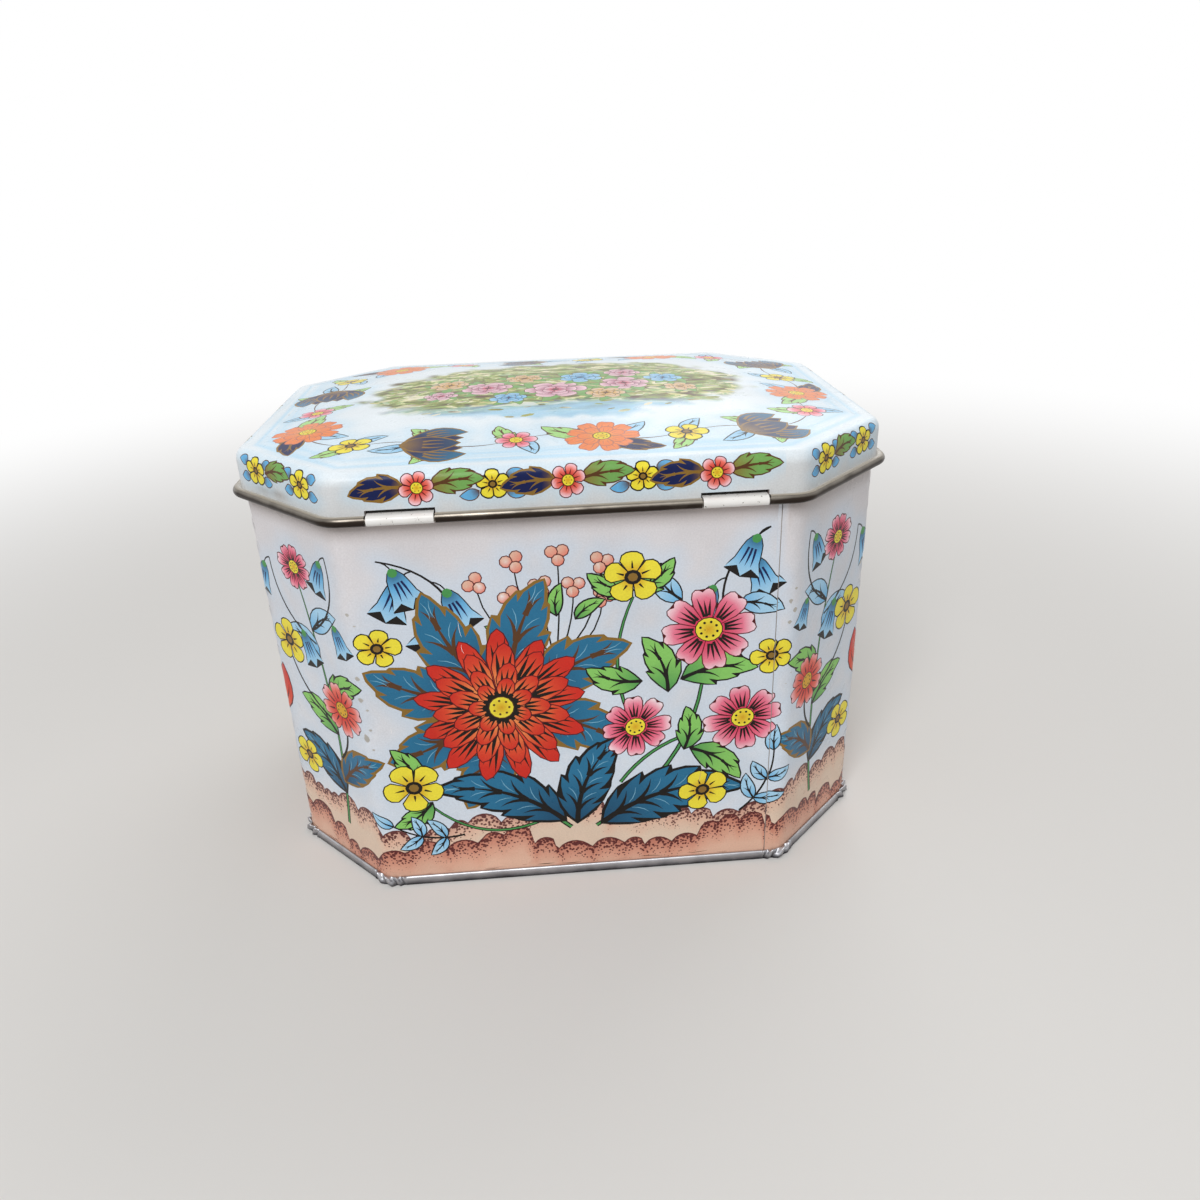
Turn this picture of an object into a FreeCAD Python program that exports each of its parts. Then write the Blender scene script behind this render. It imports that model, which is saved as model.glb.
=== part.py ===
import math
import os

import FreeCAD
import Part

# Hinged tin box with cut corners: a wrapped wall, a seamed-on base and a drawn lid on a wire hinge.
# Millimetres, +Z up. The floor is at zero, the opening edge faces -Y and the hinge is at +Y.

# Plan of the wall's outer face
box_width = 190.0
box_depth = 146.0
corner_cut = 31.0
bend_radius = 6.0

# Tinplate thicknesses
wall_sheet = 0.35
base_sheet = 0.35
lid_sheet = 0.35
tab_sheet = 0.4

# Base: countersunk panel held to the wall's foot by a double seam
seam_height = 3.2
seam_play = 0.03
hook_lap = 1.3
panel_recess = 2.4
panel_flat = 2.0

# Wall: folded top edge and one upright lap joint near the end of the hinge side
lid_rest_gap = 1.5
hem_height = 4.0
hem_play = 0.03
lap_width = 4.0
lap_end_margin = 2.5
lap_groove_width = 0.25
lap_groove_depth = 0.18

# Lid: skirt, rounded shoulder and a shallow crowned top
hinge_height = 125.7
lid_rise = 12.7
skirt_gap = 0.7
shoulder_radius = 3.2
shoulder_band = 1.2
crown_inset = 0.6
crown_height = 5.5
crown_flat_share = 0.15

# Hinge: a wire in the lid's rolled edge, held by two rolled tabs
wire_radius = 1.0
wire_end_margin = 3.5
roll_sheet = 0.4
bore_play = 0.05
bore_end_play = 0.5
knuckle_play = 0.05
knuckle_tip_rise = 0.3
tab_width = 18.0
tab_end_margin = 7.2
tab_bend = 0.6
leaf_height = 12.0
notch_rise = 2.5
notch_side_play = 0.4
slit_play = 0.1

# How far a cutting block runs past what it cuts
cut_overrun = 2.0

# Sizes that follow from the ones above
half_width = box_width / 2
half_depth = box_depth / 2
side_flat_half = half_width - corner_cut - bend_radius * math.tan(math.pi / 8)
bore_radius = wire_radius + bore_play
roll_radius = bore_radius + roll_sheet
axis_offset = skirt_gap + roll_radius + bore_play
axis_y = half_depth + axis_offset
wire_half = side_flat_half - wire_end_margin
knuckle_middle_radius = wire_radius + knuckle_play + tab_sheet / 2
strap_height = hinge_height + knuckle_middle_radius
lid_top_height = hinge_height + lid_rise
wall_height = lid_top_height - lid_sheet - lid_rest_gap
band_offset = skirt_gap + lid_sheet - shoulder_radius - shoulder_band
tab_centre = side_flat_half - tab_end_margin - tab_width / 2
tab_places = {"left": -tab_centre, "right": tab_centre}


def outline(offset, height):
    # The wall's outer face moved out by offset: straight sides and bends, starting along the front.
    half_x = half_width + offset
    half_y = half_depth + offset
    cut = corner_cut + offset * (2 - math.sqrt(2))
    bend = bend_radius + offset
    corners = [
        (cut - half_x, -half_y), (half_x - cut, -half_y), (half_x, cut - half_y), (half_x, half_y - cut),
        (half_x - cut, half_y), (cut - half_x, half_y), (-half_x, half_y - cut), (-half_x, cut - half_y),
    ]
    points = [FreeCAD.Vector(x, y, height) for x, y in corners]
    count = len(points)
    steps = [(points[(i + 1) % count] - points[i]).normalize() for i in range(count)]
    bends = []
    for i, corner in enumerate(points):
        reach = bend * math.tan(steps[i - 1].getAngle(steps[i]) / 2)
        inward = (steps[i] - steps[i - 1]).normalize()
        middle = corner + inward * (math.hypot(bend, reach) - bend)
        bends.append((corner - steps[i - 1] * reach, middle, corner + steps[i] * reach))
    edges = []
    for i in range(count):
        following = bends[(i + 1) % count]
        edges.append(Part.LineSegment(bends[i][2], following[0]).toShape())
        edges.append(Part.Arc(*following).toShape())
    return Part.Wire(edges)


def slab(offset, low, high):
    return Part.Face(outline(offset, low)).extrude(FreeCAD.Vector(0, 0, high - low))


def block(low, high):
    size = [b - a for a, b in zip(low, high)]
    return Part.makeBox(*size, FreeCAD.Vector(*low))


def strip_side(spine, bends, reach_out):
    # One face of a bent sheet, as single points at its ends and sharp folds and three points at each arc.
    steps = [(end - start).normalize() for start, end in zip(spine, spine[1:])]
    sides = [FreeCAD.Vector(-step.y, step.x, 0) for step in steps]
    stops = [[spine[0] + sides[0] * reach_out]]
    for i, bend in enumerate(bends):
        corner = spine[i + 1]
        fold = steps[i].getAngle(steps[i + 1])
        turn = math.copysign(1, steps[i].cross(steps[i + 1]).z)
        radius = bend - reach_out * turn
        inward = (steps[i + 1] - steps[i]).normalize()
        centre = corner + inward * (bend / math.cos(fold / 2))
        if bend == 0 or radius <= Part.Precision.confusion():
            stops.append([centre - inward * (radius / math.cos(fold / 2))])
        else:
            stops.append([centre - sides[i] * (radius * turn), centre - inward * radius,
                          centre - sides[i + 1] * (radius * turn)])
    stops.append([spine[-1] + sides[-1] * reach_out])
    return stops


def bent_strip(corners, bends, sheet, place):
    # End view of a bent sheet: the corners of its middle line, each with its own bend. Zero is a sharp fold.
    spine = [FreeCAD.Vector(a, b, 0) for a, b in corners]
    there = strip_side(spine, bends, sheet / 2)
    back = [stop[::-1] for stop in reversed(strip_side(spine, bends, -sheet / 2))]
    stops = [[place(point.x, point.y) for point in stop] for stop in there + back]
    edges = []
    for stop, following in zip(stops, stops[1:] + stops[:1]):
        if len(stop) > 1:
            edges.append(Part.Arc(*stop).toShape())
        if not stop[-1].isEqual(following[0], Part.Precision.confusion()):
            edges.append(Part.LineSegment(stop[-1], following[0]).toShape())
    return Part.Wire(edges)


def wall_path():
    return outline(0, 0)


def at_path_start(offset, height):
    start = wall_path().Edges[0].firstVertex().Point
    return FreeCAD.Vector(start.x, -half_depth - offset, height)


def around_the_wall(section):
    return wall_path().makePipeShell([section], True, False)


def make_body_wall():
    wall_middle = -wall_sheet / 2
    hem_middle = wall_middle - wall_sheet - hem_play
    hook_middle = 2 * seam_play + base_sheet + wall_sheet / 2
    top = wall_height - wall_sheet / 2
    foot = base_sheet + seam_play + wall_sheet / 2
    wall = around_the_wall(bent_strip(
        [(hem_middle, wall_height - hem_height), (hem_middle, top), (wall_middle, top),
         (wall_middle, foot), (hook_middle, foot), (hook_middle, foot + hook_lap)],
        [0, 0, 0, 0], wall_sheet, at_path_start))

    # The sheet's inner end laps behind its outer end, whose edge shows as a fine line.
    inner_face = half_depth - wall_sheet
    lap_edge = lap_end_margin - side_flat_half
    lap = block((lap_edge, inner_face - wall_sheet, panel_recess + base_sheet + seam_play),
                (lap_edge + lap_width, inner_face, wall_height - hem_height - hem_play))
    groove = block((lap_edge - lap_groove_width, half_depth - lap_groove_depth, seam_height),
                   (lap_edge, half_depth + cut_overrun, wall_height + cut_overrun))
    wall = wall.fuse(lap).cut(groove)

    # A slit lets each hinge tab through, with room below for the tab's bend.
    for place in tab_places.values():
        reach = tab_width / 2 + slit_play
        slit = block((place - reach, inner_face - cut_overrun, strap_height - tab_bend - slit_play),
                     (place + reach, half_depth + cut_overrun, strap_height + tab_sheet / 2 + slit_play))
        wall = wall.cut(slit)
    return wall


def make_base_panel():
    chuck_middle = -wall_sheet - seam_play - base_sheet / 2
    hook_middle = seam_play + base_sheet / 2
    rim_middle = 3 * seam_play + base_sheet + wall_sheet + base_sheet / 2
    low = base_sheet / 2
    top = seam_height - base_sheet / 2
    panel_middle = panel_recess + base_sheet / 2
    panel_edge = chuck_middle - panel_flat
    round_bend = base_sheet / 2
    rim = around_the_wall(bent_strip(
        [(panel_edge, panel_middle), (chuck_middle, panel_middle), (chuck_middle, low), (rim_middle, low),
         (rim_middle, top), (hook_middle, top), (hook_middle, top - hook_lap)],
        [0, 0, round_bend, round_bend, 0], base_sheet, at_path_start))
    panel = slab(panel_edge, panel_recess, panel_recess + base_sheet)
    return rim.fuse(panel).removeSplitter()


def make_crown(low):
    # Four wide vaults crossing at the middle, one for each pair of opposite sides, cut flat at the top.
    inset = band_offset - crown_inset
    spans = {
        0: half_depth + inset,
        90: half_width + inset,
        45: (half_width + half_depth - corner_cut) / math.sqrt(2) + inset,
        135: (half_width + half_depth - corner_cut) / math.sqrt(2) + inset,
    }
    length = box_width + box_depth
    crown = slab(inset, low, low + crown_height)
    for angle, span in spans.items():
        drop = (span ** 2 * (1 - crown_flat_share ** 2) - crown_height ** 2) / (2 * crown_height)
        vault = Part.makeCylinder(math.hypot(span, drop), length, FreeCAD.Vector(-length / 2, 0, low - drop),
                                  FreeCAD.Vector(1, 0, 0))
        vault = vault.common(block((-length, -length, low), (length, length, low + crown_height)))
        vault.rotate(FreeCAD.Vector(0, 0, 0), FreeCAD.Vector(0, 0, 1), angle)
        crown = crown.common(vault)
    return crown


def make_lid_shell():
    middle_top = lid_top_height - lid_sheet / 2
    inner_top = lid_top_height - lid_sheet
    skirt_middle = skirt_gap + lid_sheet / 2
    shoulder_bend = shoulder_radius - lid_sheet / 2
    skirt = around_the_wall(bent_strip(
        [(band_offset, middle_top), (skirt_middle, middle_top), (skirt_middle, hinge_height)],
        [shoulder_bend], lid_sheet, at_path_start))
    roll_ring = Part.makeCircle(roll_radius, at_path_start(axis_offset, hinge_height), FreeCAD.Vector(1, 0, 0))
    roll = around_the_wall(Part.Wire(roll_ring))
    plate = slab(band_offset, inner_top, lid_top_height)
    lid = skirt.fuse(plate).fuse(make_crown(lid_top_height)).cut(make_crown(inner_top)).fuse(roll)

    # The roll takes the wire along the hinge side, and is notched with the skirt where the tabs hold it.
    bore_half = wire_half + bore_end_play
    lid = lid.cut(Part.makeCylinder(bore_radius, 2 * bore_half, FreeCAD.Vector(-bore_half, axis_y, hinge_height),
                                    FreeCAD.Vector(1, 0, 0)))
    for place in tab_places.values():
        reach = tab_width / 2 + notch_side_play
        notch = block((place - reach, half_depth, hinge_height - roll_radius - cut_overrun),
                      (place + reach, axis_y + roll_radius + cut_overrun, hinge_height + notch_rise))
        lid = lid.cut(notch)
    return lid.removeSplitter()


def make_hinge_wire():
    start = FreeCAD.Vector(-wire_half, axis_y, hinge_height)
    return Part.makeCylinder(wire_radius, 2 * wire_half, start, FreeCAD.Vector(1, 0, 0))


def make_hinge_tab(centre):
    # The leaf lies on the wall's inner face, and the strap leaves through the slit to roll round the wire.
    radius = knuckle_middle_radius
    leaf_y = half_depth - wall_sheet - tab_sheet / 2
    low = hinge_height - radius

    def place(y, z):
        return FreeCAD.Vector(centre - tab_width / 2, y, z)

    section = bent_strip(
        [(leaf_y, strap_height - leaf_height), (leaf_y, strap_height), (axis_y + radius, strap_height),
         (axis_y + radius, low), (axis_y - radius, low), (axis_y - radius, hinge_height + knuckle_tip_rise)],
        [tab_bend, radius, radius, radius], tab_sheet, place)
    return Part.Face(section).extrude(FreeCAD.Vector(tab_width, 0, 0))


def main():
    pieces = {
        "body_wall": make_body_wall(),
        "base_panel": make_base_panel(),
        "lid_shell": make_lid_shell(),
        "hinge_wire": make_hinge_wire(),
    }
    for side, centre in tab_places.items():
        pieces["hinge_tab_" + side] = make_hinge_tab(centre)
    os.makedirs("parts", exist_ok=True)
    for name, shape in pieces.items():
        box = shape.BoundBox
        print(name, len(shape.Solids), "solid", shape.isValid(), round(shape.Volume, 1), "mm3",
              "z", round(box.ZMin, 3), round(box.ZMax, 3))
        shape.exportStep("parts/" + name + ".step")


main()
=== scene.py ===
import math
import random

import bpy
import numpy as np
from mathutils import Matrix, Vector, kdtree
from mathutils.geometry import delaunay_2d_cdt


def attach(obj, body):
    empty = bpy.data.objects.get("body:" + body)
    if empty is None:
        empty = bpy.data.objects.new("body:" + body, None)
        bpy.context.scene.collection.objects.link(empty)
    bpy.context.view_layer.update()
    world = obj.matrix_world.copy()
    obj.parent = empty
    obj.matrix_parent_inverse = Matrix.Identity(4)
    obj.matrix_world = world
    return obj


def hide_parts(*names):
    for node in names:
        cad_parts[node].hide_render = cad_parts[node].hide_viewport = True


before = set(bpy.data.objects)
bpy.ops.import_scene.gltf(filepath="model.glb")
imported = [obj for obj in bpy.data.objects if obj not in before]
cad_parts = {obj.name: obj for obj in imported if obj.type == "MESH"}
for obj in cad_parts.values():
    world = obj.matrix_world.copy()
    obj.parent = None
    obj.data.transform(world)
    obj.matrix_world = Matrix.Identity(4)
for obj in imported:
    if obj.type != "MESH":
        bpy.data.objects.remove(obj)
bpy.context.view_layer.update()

print("frame loaded with", len(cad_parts), "nodes")

# Sizes are in millimetres and angles in degrees. Meshes go out in metres.
metresPerMm = 0.001
dice = random.Random(41)

tin = {
    "halfWidth": 95.0,  # plan of the wall's outer face
    "halfDepth": 73.0,
    "cornerCut": 31.0,
    "bendRadius": 6.0,
    "sheet": 0.35,
    "lapFromBend": 2.5,  # the upright lap joint, near one end of the hinge side
}
hinge = {"axisFromWall": 2.2, "height": 125.7, "tabMiddle": 45.315, "tabWidth": 18.0}


def heading(degrees):
    return complex(math.cos(math.radians(degrees)), math.sin(math.radians(degrees)))


# Plan of the wall as one line that starts at the lap and runs to the right, seen from outside
bendLength = tin["bendRadius"] * math.pi / 4
bendReach = tin["bendRadius"] * math.tan(math.pi / 8)
longFlat = 2 * (tin["halfWidth"] - tin["cornerCut"] - bendReach)
shortFlat = 2 * (tin["halfDepth"] - tin["cornerCut"] - bendReach)
cornerFlat = tin["cornerCut"] * math.sqrt(2) - 2 * bendReach
lapX = tin["lapFromBend"] - longFlat / 2
flatRuns = [
    ("lapEnd", tin["lapFromBend"]), ("cornerOne", cornerFlat), ("shortOne", shortFlat),
    ("cornerTwo", cornerFlat), ("front", longFlat), ("cornerThree", cornerFlat), ("shortTwo", shortFlat),
    ("cornerFour", cornerFlat), ("rear", longFlat - tin["lapFromBend"]),
]


def walkOutline():
    runs, middles = [], {}
    along, place, facing = 0.0, complex(lapX, tin["halfDepth"]), 180.0
    for name, length in flatRuns:
        runs.append((along, place, facing, 0))
        middles[name] = along + length / 2
        place += length * heading(facing)
        along += length
        if name != "rear":
            runs.append((along, place, facing, 1))
            centre = place + tin["bendRadius"] * heading(facing + 90)
            facing += 45
            place = centre + tin["bendRadius"] * heading(facing - 90)
            along += bendLength
    middles["rear"] = along + lapX
    return runs, middles, along


outlineRuns, panelMiddle, wallRound = walkOutline()
runStart = np.array([run[0] for run in outlineRuns])
runPlace = np.array([run[1] for run in outlineRuns])
runFacing = np.radians([run[2] for run in outlineRuns])
runBends = np.array([run[3] for run in outlineRuns])


def outlineAt(along):
    along = np.mod(along, wallRound)
    run = np.searchsorted(runStart, along, "right") - 1
    past = along - runStart[run]
    outward = np.exp(1j * (runFacing[run] - math.pi / 2 + runBends[run] * past / tin["bendRadius"]))
    first = np.exp(1j * (runFacing[run] - math.pi / 2))
    flat = runPlace[run] + past * np.exp(1j * runFacing[run])
    bent = runPlace[run] + tin["bendRadius"] * (outward - first)
    return np.where(runBends[run] == 1, bent, flat), outward


def sheetPoint(along, offset, height):
    place, outward = outlineAt(along)
    place = place + outward * offset
    return np.stack([place.real, place.imag, height + 0 * place.real], -1)


def stations(flatStep, bendSteps, start=0.0, end=None, extra=()):
    # Places along the outline: even steps on the flats, finer ones in the bends.
    end = wallRound if end is None else end
    places = [start, end, *extra]
    lap = math.floor(start / wallRound) * wallRound
    while lap < end:
        ends = list(runStart[1:]) + [wallRound]
        for begin, finish, bent in zip(runStart, ends, runBends):
            count = bendSteps if bent else max(1, round((finish - begin) / flatStep))
            places += [lap + begin + (finish - begin) * i / count for i in range(count)]
        lap += wallRound
    places = sorted(p for p in places if start - 1e-6 <= p <= end + 1e-6)
    kept = [places[0]]
    for place in places[1:]:
        if place - kept[-1] > 0.02:
            kept.append(place)
    return np.array(kept, np.float32).astype(float)


def octagon(inset):
    wide, deep = tin["halfWidth"] - inset, tin["halfDepth"] - inset
    cut = tin["cornerCut"] - inset * (2 - math.sqrt(2))
    half = np.array([complex(wide, deep - cut), complex(wide - cut, deep), complex(cut - wide, deep),
                     complex(-wide, deep - cut)])
    return np.concatenate([half, -half])


def ramp(value, start, end):
    # 0 before start, 1 past end, and an even slope between them.
    return np.clip((value - start) / (end - start), 0, 1)


def blend(first, second, share):
    return first + (second - first) * share


# Inks of the print, as sRGB
inks = {
    "black": "#1A1613", "maroon": "#54161B", "gold": "#8C6A2E", "brown": "#5B3A20",
    "teal": "#2A7095", "deepTeal": "#1B4767", "paleTeal": "#7FB4CC", "navy": "#151F4E",
    "red": "#CE2E22", "scarlet": "#DC4A2E", "orange": "#F08E50",
    "rose": "#DA3C5E", "pink": "#EB7C95", "blush": "#F8D3DC", "white": "#F6F3F3",
    "yellow": "#F0E040", "amber": "#D8A324", "green": "#8AC966", "deepGreen": "#4A9450",
    "olive": "#7A8A3A", "sky": "#69B2E1", "paleSky": "#A8D3EE", "peach": "#E2B8A1", "sand": "#E0C8B3",
    "terracotta": "#CE8C76", "brick": "#BC7461", "clay": "#C79786", "umber": "#7C423C",
    "salmon": "#DBA48D", "stipple": "#521C22", "coral": "#E8705F", "flame": "#EA8248",
    "moss": "#A8A85E", "deepMoss": "#6A6A3A", "straw": "#DCD69A",
    "lime": "#A9DA86", "cream": "#EDE6CC", "fern": "#76A95A", "mauve": "#B97C93",
}
paper = {"wall": "#DAD8DC", "lid": "#E6EEF3", "halo": "#CADAEA", "lidHalo": "#BFE0F4"}


def linear(colour):
    parts = [int(colour[i:i + 2], 16) / 255 for i in (1, 3, 5)]
    return np.array([p / 12.92 if p <= 0.04045 else ((p + 0.055) / 1.055) ** 2.4 for p in parts])


inkLinear = {name: linear(colour) for name, colour in {**inks, **paper}.items()}

# Drawing on the flat sheet. A shape is a closed run of points x+iy, and later shapes cover earlier ones.


def tidyRing(points):
    points = np.asarray(points, complex)
    points = points[np.abs(points - np.roll(points, 1)) > 0.015]
    turning = np.sum(points.real * np.roll(points.imag, -1) - points.imag * np.roll(points.real, -1))
    return points if turning > 0 else points[::-1]


def paint(sheet, points, stops, middle=0j, halo=True):
    # stops: an ink, (distance from middle, ink) steps that blend into each other, or None for bare ground
    points = tidyRing(points)
    if len(points) > 2:
        sheet.append({"points": points, "stops": [(0, stops)] if isinstance(stops, str) else stops,
                      "middle": middle, "halo": halo})


def swell(points, width):
    # The shape grown by width, without the points that fall inside the growth of another stretch.
    points = tidyRing(points)
    step = np.roll(points, -1) - np.roll(points, 1)
    grown = points - 1j * step / np.maximum(np.abs(step), 1e-9) * width
    side = np.roll(points, -1) - points
    past = np.clip(((grown[:, None] - points) * side.conj()).real / np.abs(side) ** 2, 0, 1)
    clear = np.abs(grown[:, None] - points - past * side).min(1)
    return grown[clear > 0.96 * width]


def outlined(sheet, points, stops, middle, line, width):
    paint(sheet, swell(points, width), line)
    paint(sheet, points, stops, middle)


def bow(start, end, sag, count=9):
    # A line that bows to its left by sag times its length.
    t = np.linspace(0, 1, count)
    middle = (start + end) / 2 + 2j * (end - start) * sag
    return (1 - t) ** 2 * start + 2 * t * (1 - t) * middle + t * t * end


def ribbon(path, *widths):
    step = np.gradient(path)
    t = np.linspace(0, 1, len(path))
    half = np.interp(t, np.linspace(0, 1, len(widths)), widths) / 2
    side = 1j * step / np.abs(step) * half
    return np.concatenate([path + side, (path - side)[::-1]])


def circle(middle, radius, count=14, squash=1.0, lean=1 + 0j):
    turn = np.exp(2j * np.pi * np.arange(count) / count)
    return middle + lean * radius * (turn.real + 1j * squash * turn.imag)


leafLooks = {  # line and its width, inks at the base and the tip, vein, glint, share of the length that fades
    "teal": ("black", 1.0, "deepTeal", "teal", "black", "paleTeal", 0.55),
    "goldTeal": ("gold", 0.95, "deepTeal", "teal", "brown", "paleTeal", 0.55),
    "green": ("black", 0.52, "deepGreen", "green", "black", None, 0.55),
    "warmGreen": ("brown", 0.4, "gold", "lime", "brown", None, 0.55),
    "sky": ("black", 0.42, "sky", "paleSky", "black", None, 0.55),
    "navy": ("gold", 0.6, "gold", "navy", "gold", None, 0.24),
    "fern": ("brown", 0.4, "gold", "fern", "brown", None, 0.55),
    "dusk": ("brown", 0.28, "brown", "sky", None, None, 0.55),
    "soft": ("deepMoss", 0.2, "brown", "fern", None, None, 0.55),
}


def leaf(sheet, at, angle, length, width, look, lobes=4, sag=0.07):
    line, lineWidth, baseInk, tipInk, vein, glint, fade = leafLooks[look]
    spine = bow(at, at + length * heading(angle), sag, 33)
    step = np.gradient(spine)
    share = np.linspace(0, 1, len(spine))

    def onLeaf(along, across):
        along = np.minimum(along, 1)
        centre = np.interp(along, share, spine.real) + 1j * np.interp(along, share, spine.imag)
        tangent = np.interp(along, share, step.real) + 1j * np.interp(along, share, step.imag)
        reach = np.sin(np.pi * along ** 0.8) ** 0.85 * width / 2
        return centre + 1j * tangent / np.abs(tangent) * reach * across

    def edge(side):
        if not lobes:
            return onLeaf(np.linspace(0, 1, 9), side)
        u = np.array([0, 0.3, 0.65, 1.0])
        runs = [onLeaf((k + 1.25 * u) / lobes, side * (0.64 + 0.42 * u ** 0.7)) for k in range(lobes)]
        return np.concatenate([*runs, spine[-1:]])

    ring = np.concatenate([edge(1), edge(-1)[::-1]])
    outlined(sheet, ring, [(0, baseInk), (fade * length, tipInk)], at, line, lineWidth)
    if not vein:
        return
    thick = 0.07 * width + 0.2
    veins = max(lobes, 3) if length > 8 else 0
    for k in range(1, veins):
        for side in (1, -1):
            root, end = (k - 0.35) / veins, (k + 0.5) / veins
            start, finish = onLeaf(np.array([root, end]), np.array([0.03, 0.7]) * side)
            paint(sheet, ribbon(bow(start, finish, -0.1 * side, 5), thick, 0.7 * thick, 0.06), vein)
            if glint:
                start, finish = onLeaf(np.array([root + 0.11, end + 0.06]), np.array([0.14, 0.62]) * side)
                paint(sheet, ribbon(bow(start, finish, -0.1 * side, 4), 0.05, 0.3, 0.05), glint)
    paint(sheet, ribbon(spine[:29:3], 1.4 * thick, thick, 0.08), vein)


def stem(sheet, start, end, sag, width=0.75, core="deepGreen"):
    path = bow(start, end, sag, 13)
    paint(sheet, ribbon(path, width, width, 0.7 * width), "black")
    if core:
        paint(sheet, ribbon(path, 0.45 * width, 0.45 * width, 0.3 * width), core)
    return path


petalLooks = {  # line and its width, inks by share of the radius, then strokes: ink, places, span, thickness
    "daisy": ("maroon", 0.34, [(0.35, "rose"), (0.72, "pink"), (0.92, "blush"), (1.0, "white")],
              "black", (-0.45, 0, 0.45), (0.32, 0.74), 0.06),
    "dahliaOuter": ("maroon", 0.36, [(0.6, "scarlet"), (0.85, "red")],
                    "black", (-0.35, 0, 0.35), (0.5, 0.86), 0.04),
    "dahliaInner": ("maroon", 0.34, [(0.45, "orange"), (0.75, "scarlet"), (1.0, "red")],
                    "black", (-0.4, 0, 0.4), (0.45, 0.84), 0.062),
    "buttercup": ("black", 0.42, [(0.2, "amber"), (0.55, "yellow")], "black", (0,), (0.35, 0.64), 0.075),
    "coral": ("maroon", 0.3, [(0.3, "red"), (0.7, "coral"), (1.0, "blush")],
              "maroon", (0,), (0.38, 0.7), 0.07),
    "marigold": ("brick", 0.34, [(0.2, "amber"), (0.5, "orange"), (1.0, "flame")],
                 "brick", (-0.35, 0.35), (0.5, 0.82), 0.03),
    "primrose": ("brown", 0.3, [(0.3, "coral"), (0.7, "pink"), (1.0, "blush")],
                 "maroon", (0,), (0.35, 0.65), 0.05),
    "pinkRose": ("maroon", 0.22, [(0.2, "rose"), (0.6, "mauve"), (1.0, "blush")]),
    "blueRose": ("navy", 0.22, [(0.2, "teal"), (0.6, "sky"), (1.0, "paleSky")]),
    "goldRose": ("brown", 0.22, [(0.2, "brown"), (0.5, "amber"), (1.0, "sand")]),
}


def petals(sheet, at, radius, count, look, turn=0.0, lobes=1, notch=0.1, point=2.0, squash=1.0, lean=0.0):
    line, lineWidth, shades, *strokes = petalLooks[look]
    strokeInk, places, span, thick = strokes or (None, (), (), 0)
    tilt = heading(lean)

    def seen(points):
        return at + tilt * (points.real + 1j * squash * points.imag)

    x = np.linspace(-1, 1, 5 + 4 * lobes)
    scallop = 1 - notch * (1 - np.abs(np.sin(np.pi * lobes * (x + 1) / 2)))
    reach = (1 - np.abs(x) ** point) ** 0.42 * scallop
    half = 1.13 * math.pi / count
    stops = [(share * radius, name) for share, name in shades]
    for k in range(count):
        aim = math.radians(turn + 360 * k / count + dice.uniform(-3, 3))
        size = radius * dice.uniform(0.94, 1.04)
        ring = seen(size * reach * np.exp(1j * (aim + half * x)))
        outlined(sheet, ring, stops, at, line, lineWidth)
        for across in places:
            aimed = np.exp(1j * (aim + half * across * 0.8))
            near, far = (size * share * dice.uniform(0.93, 1.07) for share in span)
            path = seen(aimed * np.linspace(near, far, 3) * np.exp(1j * np.linspace(0, 0.05 * across, 3)))
            paint(sheet, ribbon(path, thick * radius, 0.8 * thick * radius, 0.05), strokeInk)


def flowerEye(sheet, at, radius, fill, rim, dots, squash=1.0, lean=0.0):
    tilt = heading(lean)
    outlined(sheet, circle(at, radius, 14, squash, tilt), [(0, "amber"), (0.8 * radius, fill)], at, rim, 0.3)
    for k in range(dots):
        spin = np.exp(2j * np.pi * k / dots)
        spot = at + tilt * 0.66 * radius * (spin.real + 1j * squash * spin.imag)
        paint(sheet, circle(spot, 0.12 * radius, 5), rim)


def daisy(sheet, at, radius, lean=0.0, squash=0.9, look="daisy", eye="yellow"):
    petals(sheet, at, radius, 8, look, dice.uniform(0, 45), 2, 0.12, 2.4, squash, lean)
    flowerEye(sheet, at, 0.27 * radius, eye, "black", 8, squash, lean)


dahliaRings = ((1, 13, "dahliaOuter", 6, 1.45), (0.8, 11, "dahliaInner", 19, 1.5),
               (0.58, 9, "dahliaInner", 0, 1.6), (0.37, 7, "dahliaInner", 25, 1.8))


def dahlia(sheet, at, radius):
    for share, count, look, turn, point in dahliaRings:
        petals(sheet, at, share * radius, count, look, turn, 1, 0.0, point)
    paint(sheet, circle(at, 0.185 * radius, 18), "black")
    for k in range(14):
        paint(sheet, circle(at + 0.19 * radius * np.exp(2j * np.pi * k / 14), 0.03 * radius, 6), "black")
    flowerEye(sheet, at, 0.135 * radius, "yellow", "brown", 7)


def buttercup(sheet, at, radius, turn=0.0, squash=0.92, lean=0.0):
    petals(sheet, at, radius, 5, "buttercup", turn, 1, 0.0, 2.8, squash, lean)
    paint(sheet, circle(at, 0.29 * radius, 12, squash, heading(lean)), "black")
    paint(sheet, circle(at, 0.17 * radius, 8, squash, heading(lean)), "gold")


tulipLook = {
    "back": [(0, "brick"), (1.0, "red")],
    "side": [(0, "yellow"), (0.25, "orange"), (0.8, "scarlet"), (1.0, "red")],
    "front": [(0, "yellow"), (0.35, "orange"), (0.95, "scarlet")],
}
tulipPetals = (  # kind, tip, bulge and lean, on a tulip of length 1 that points along x
    ("back", 0.94 + 0.2j, 0.17, 0.06), ("back", 0.94 - 0.2j, 0.17, -0.06), ("side", 1.0 + 0.42j, 0.21, 0.2),
    ("side", 1.0 - 0.42j, 0.21, -0.2), ("front", 0.9, 0.27, 0.0),
)


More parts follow.
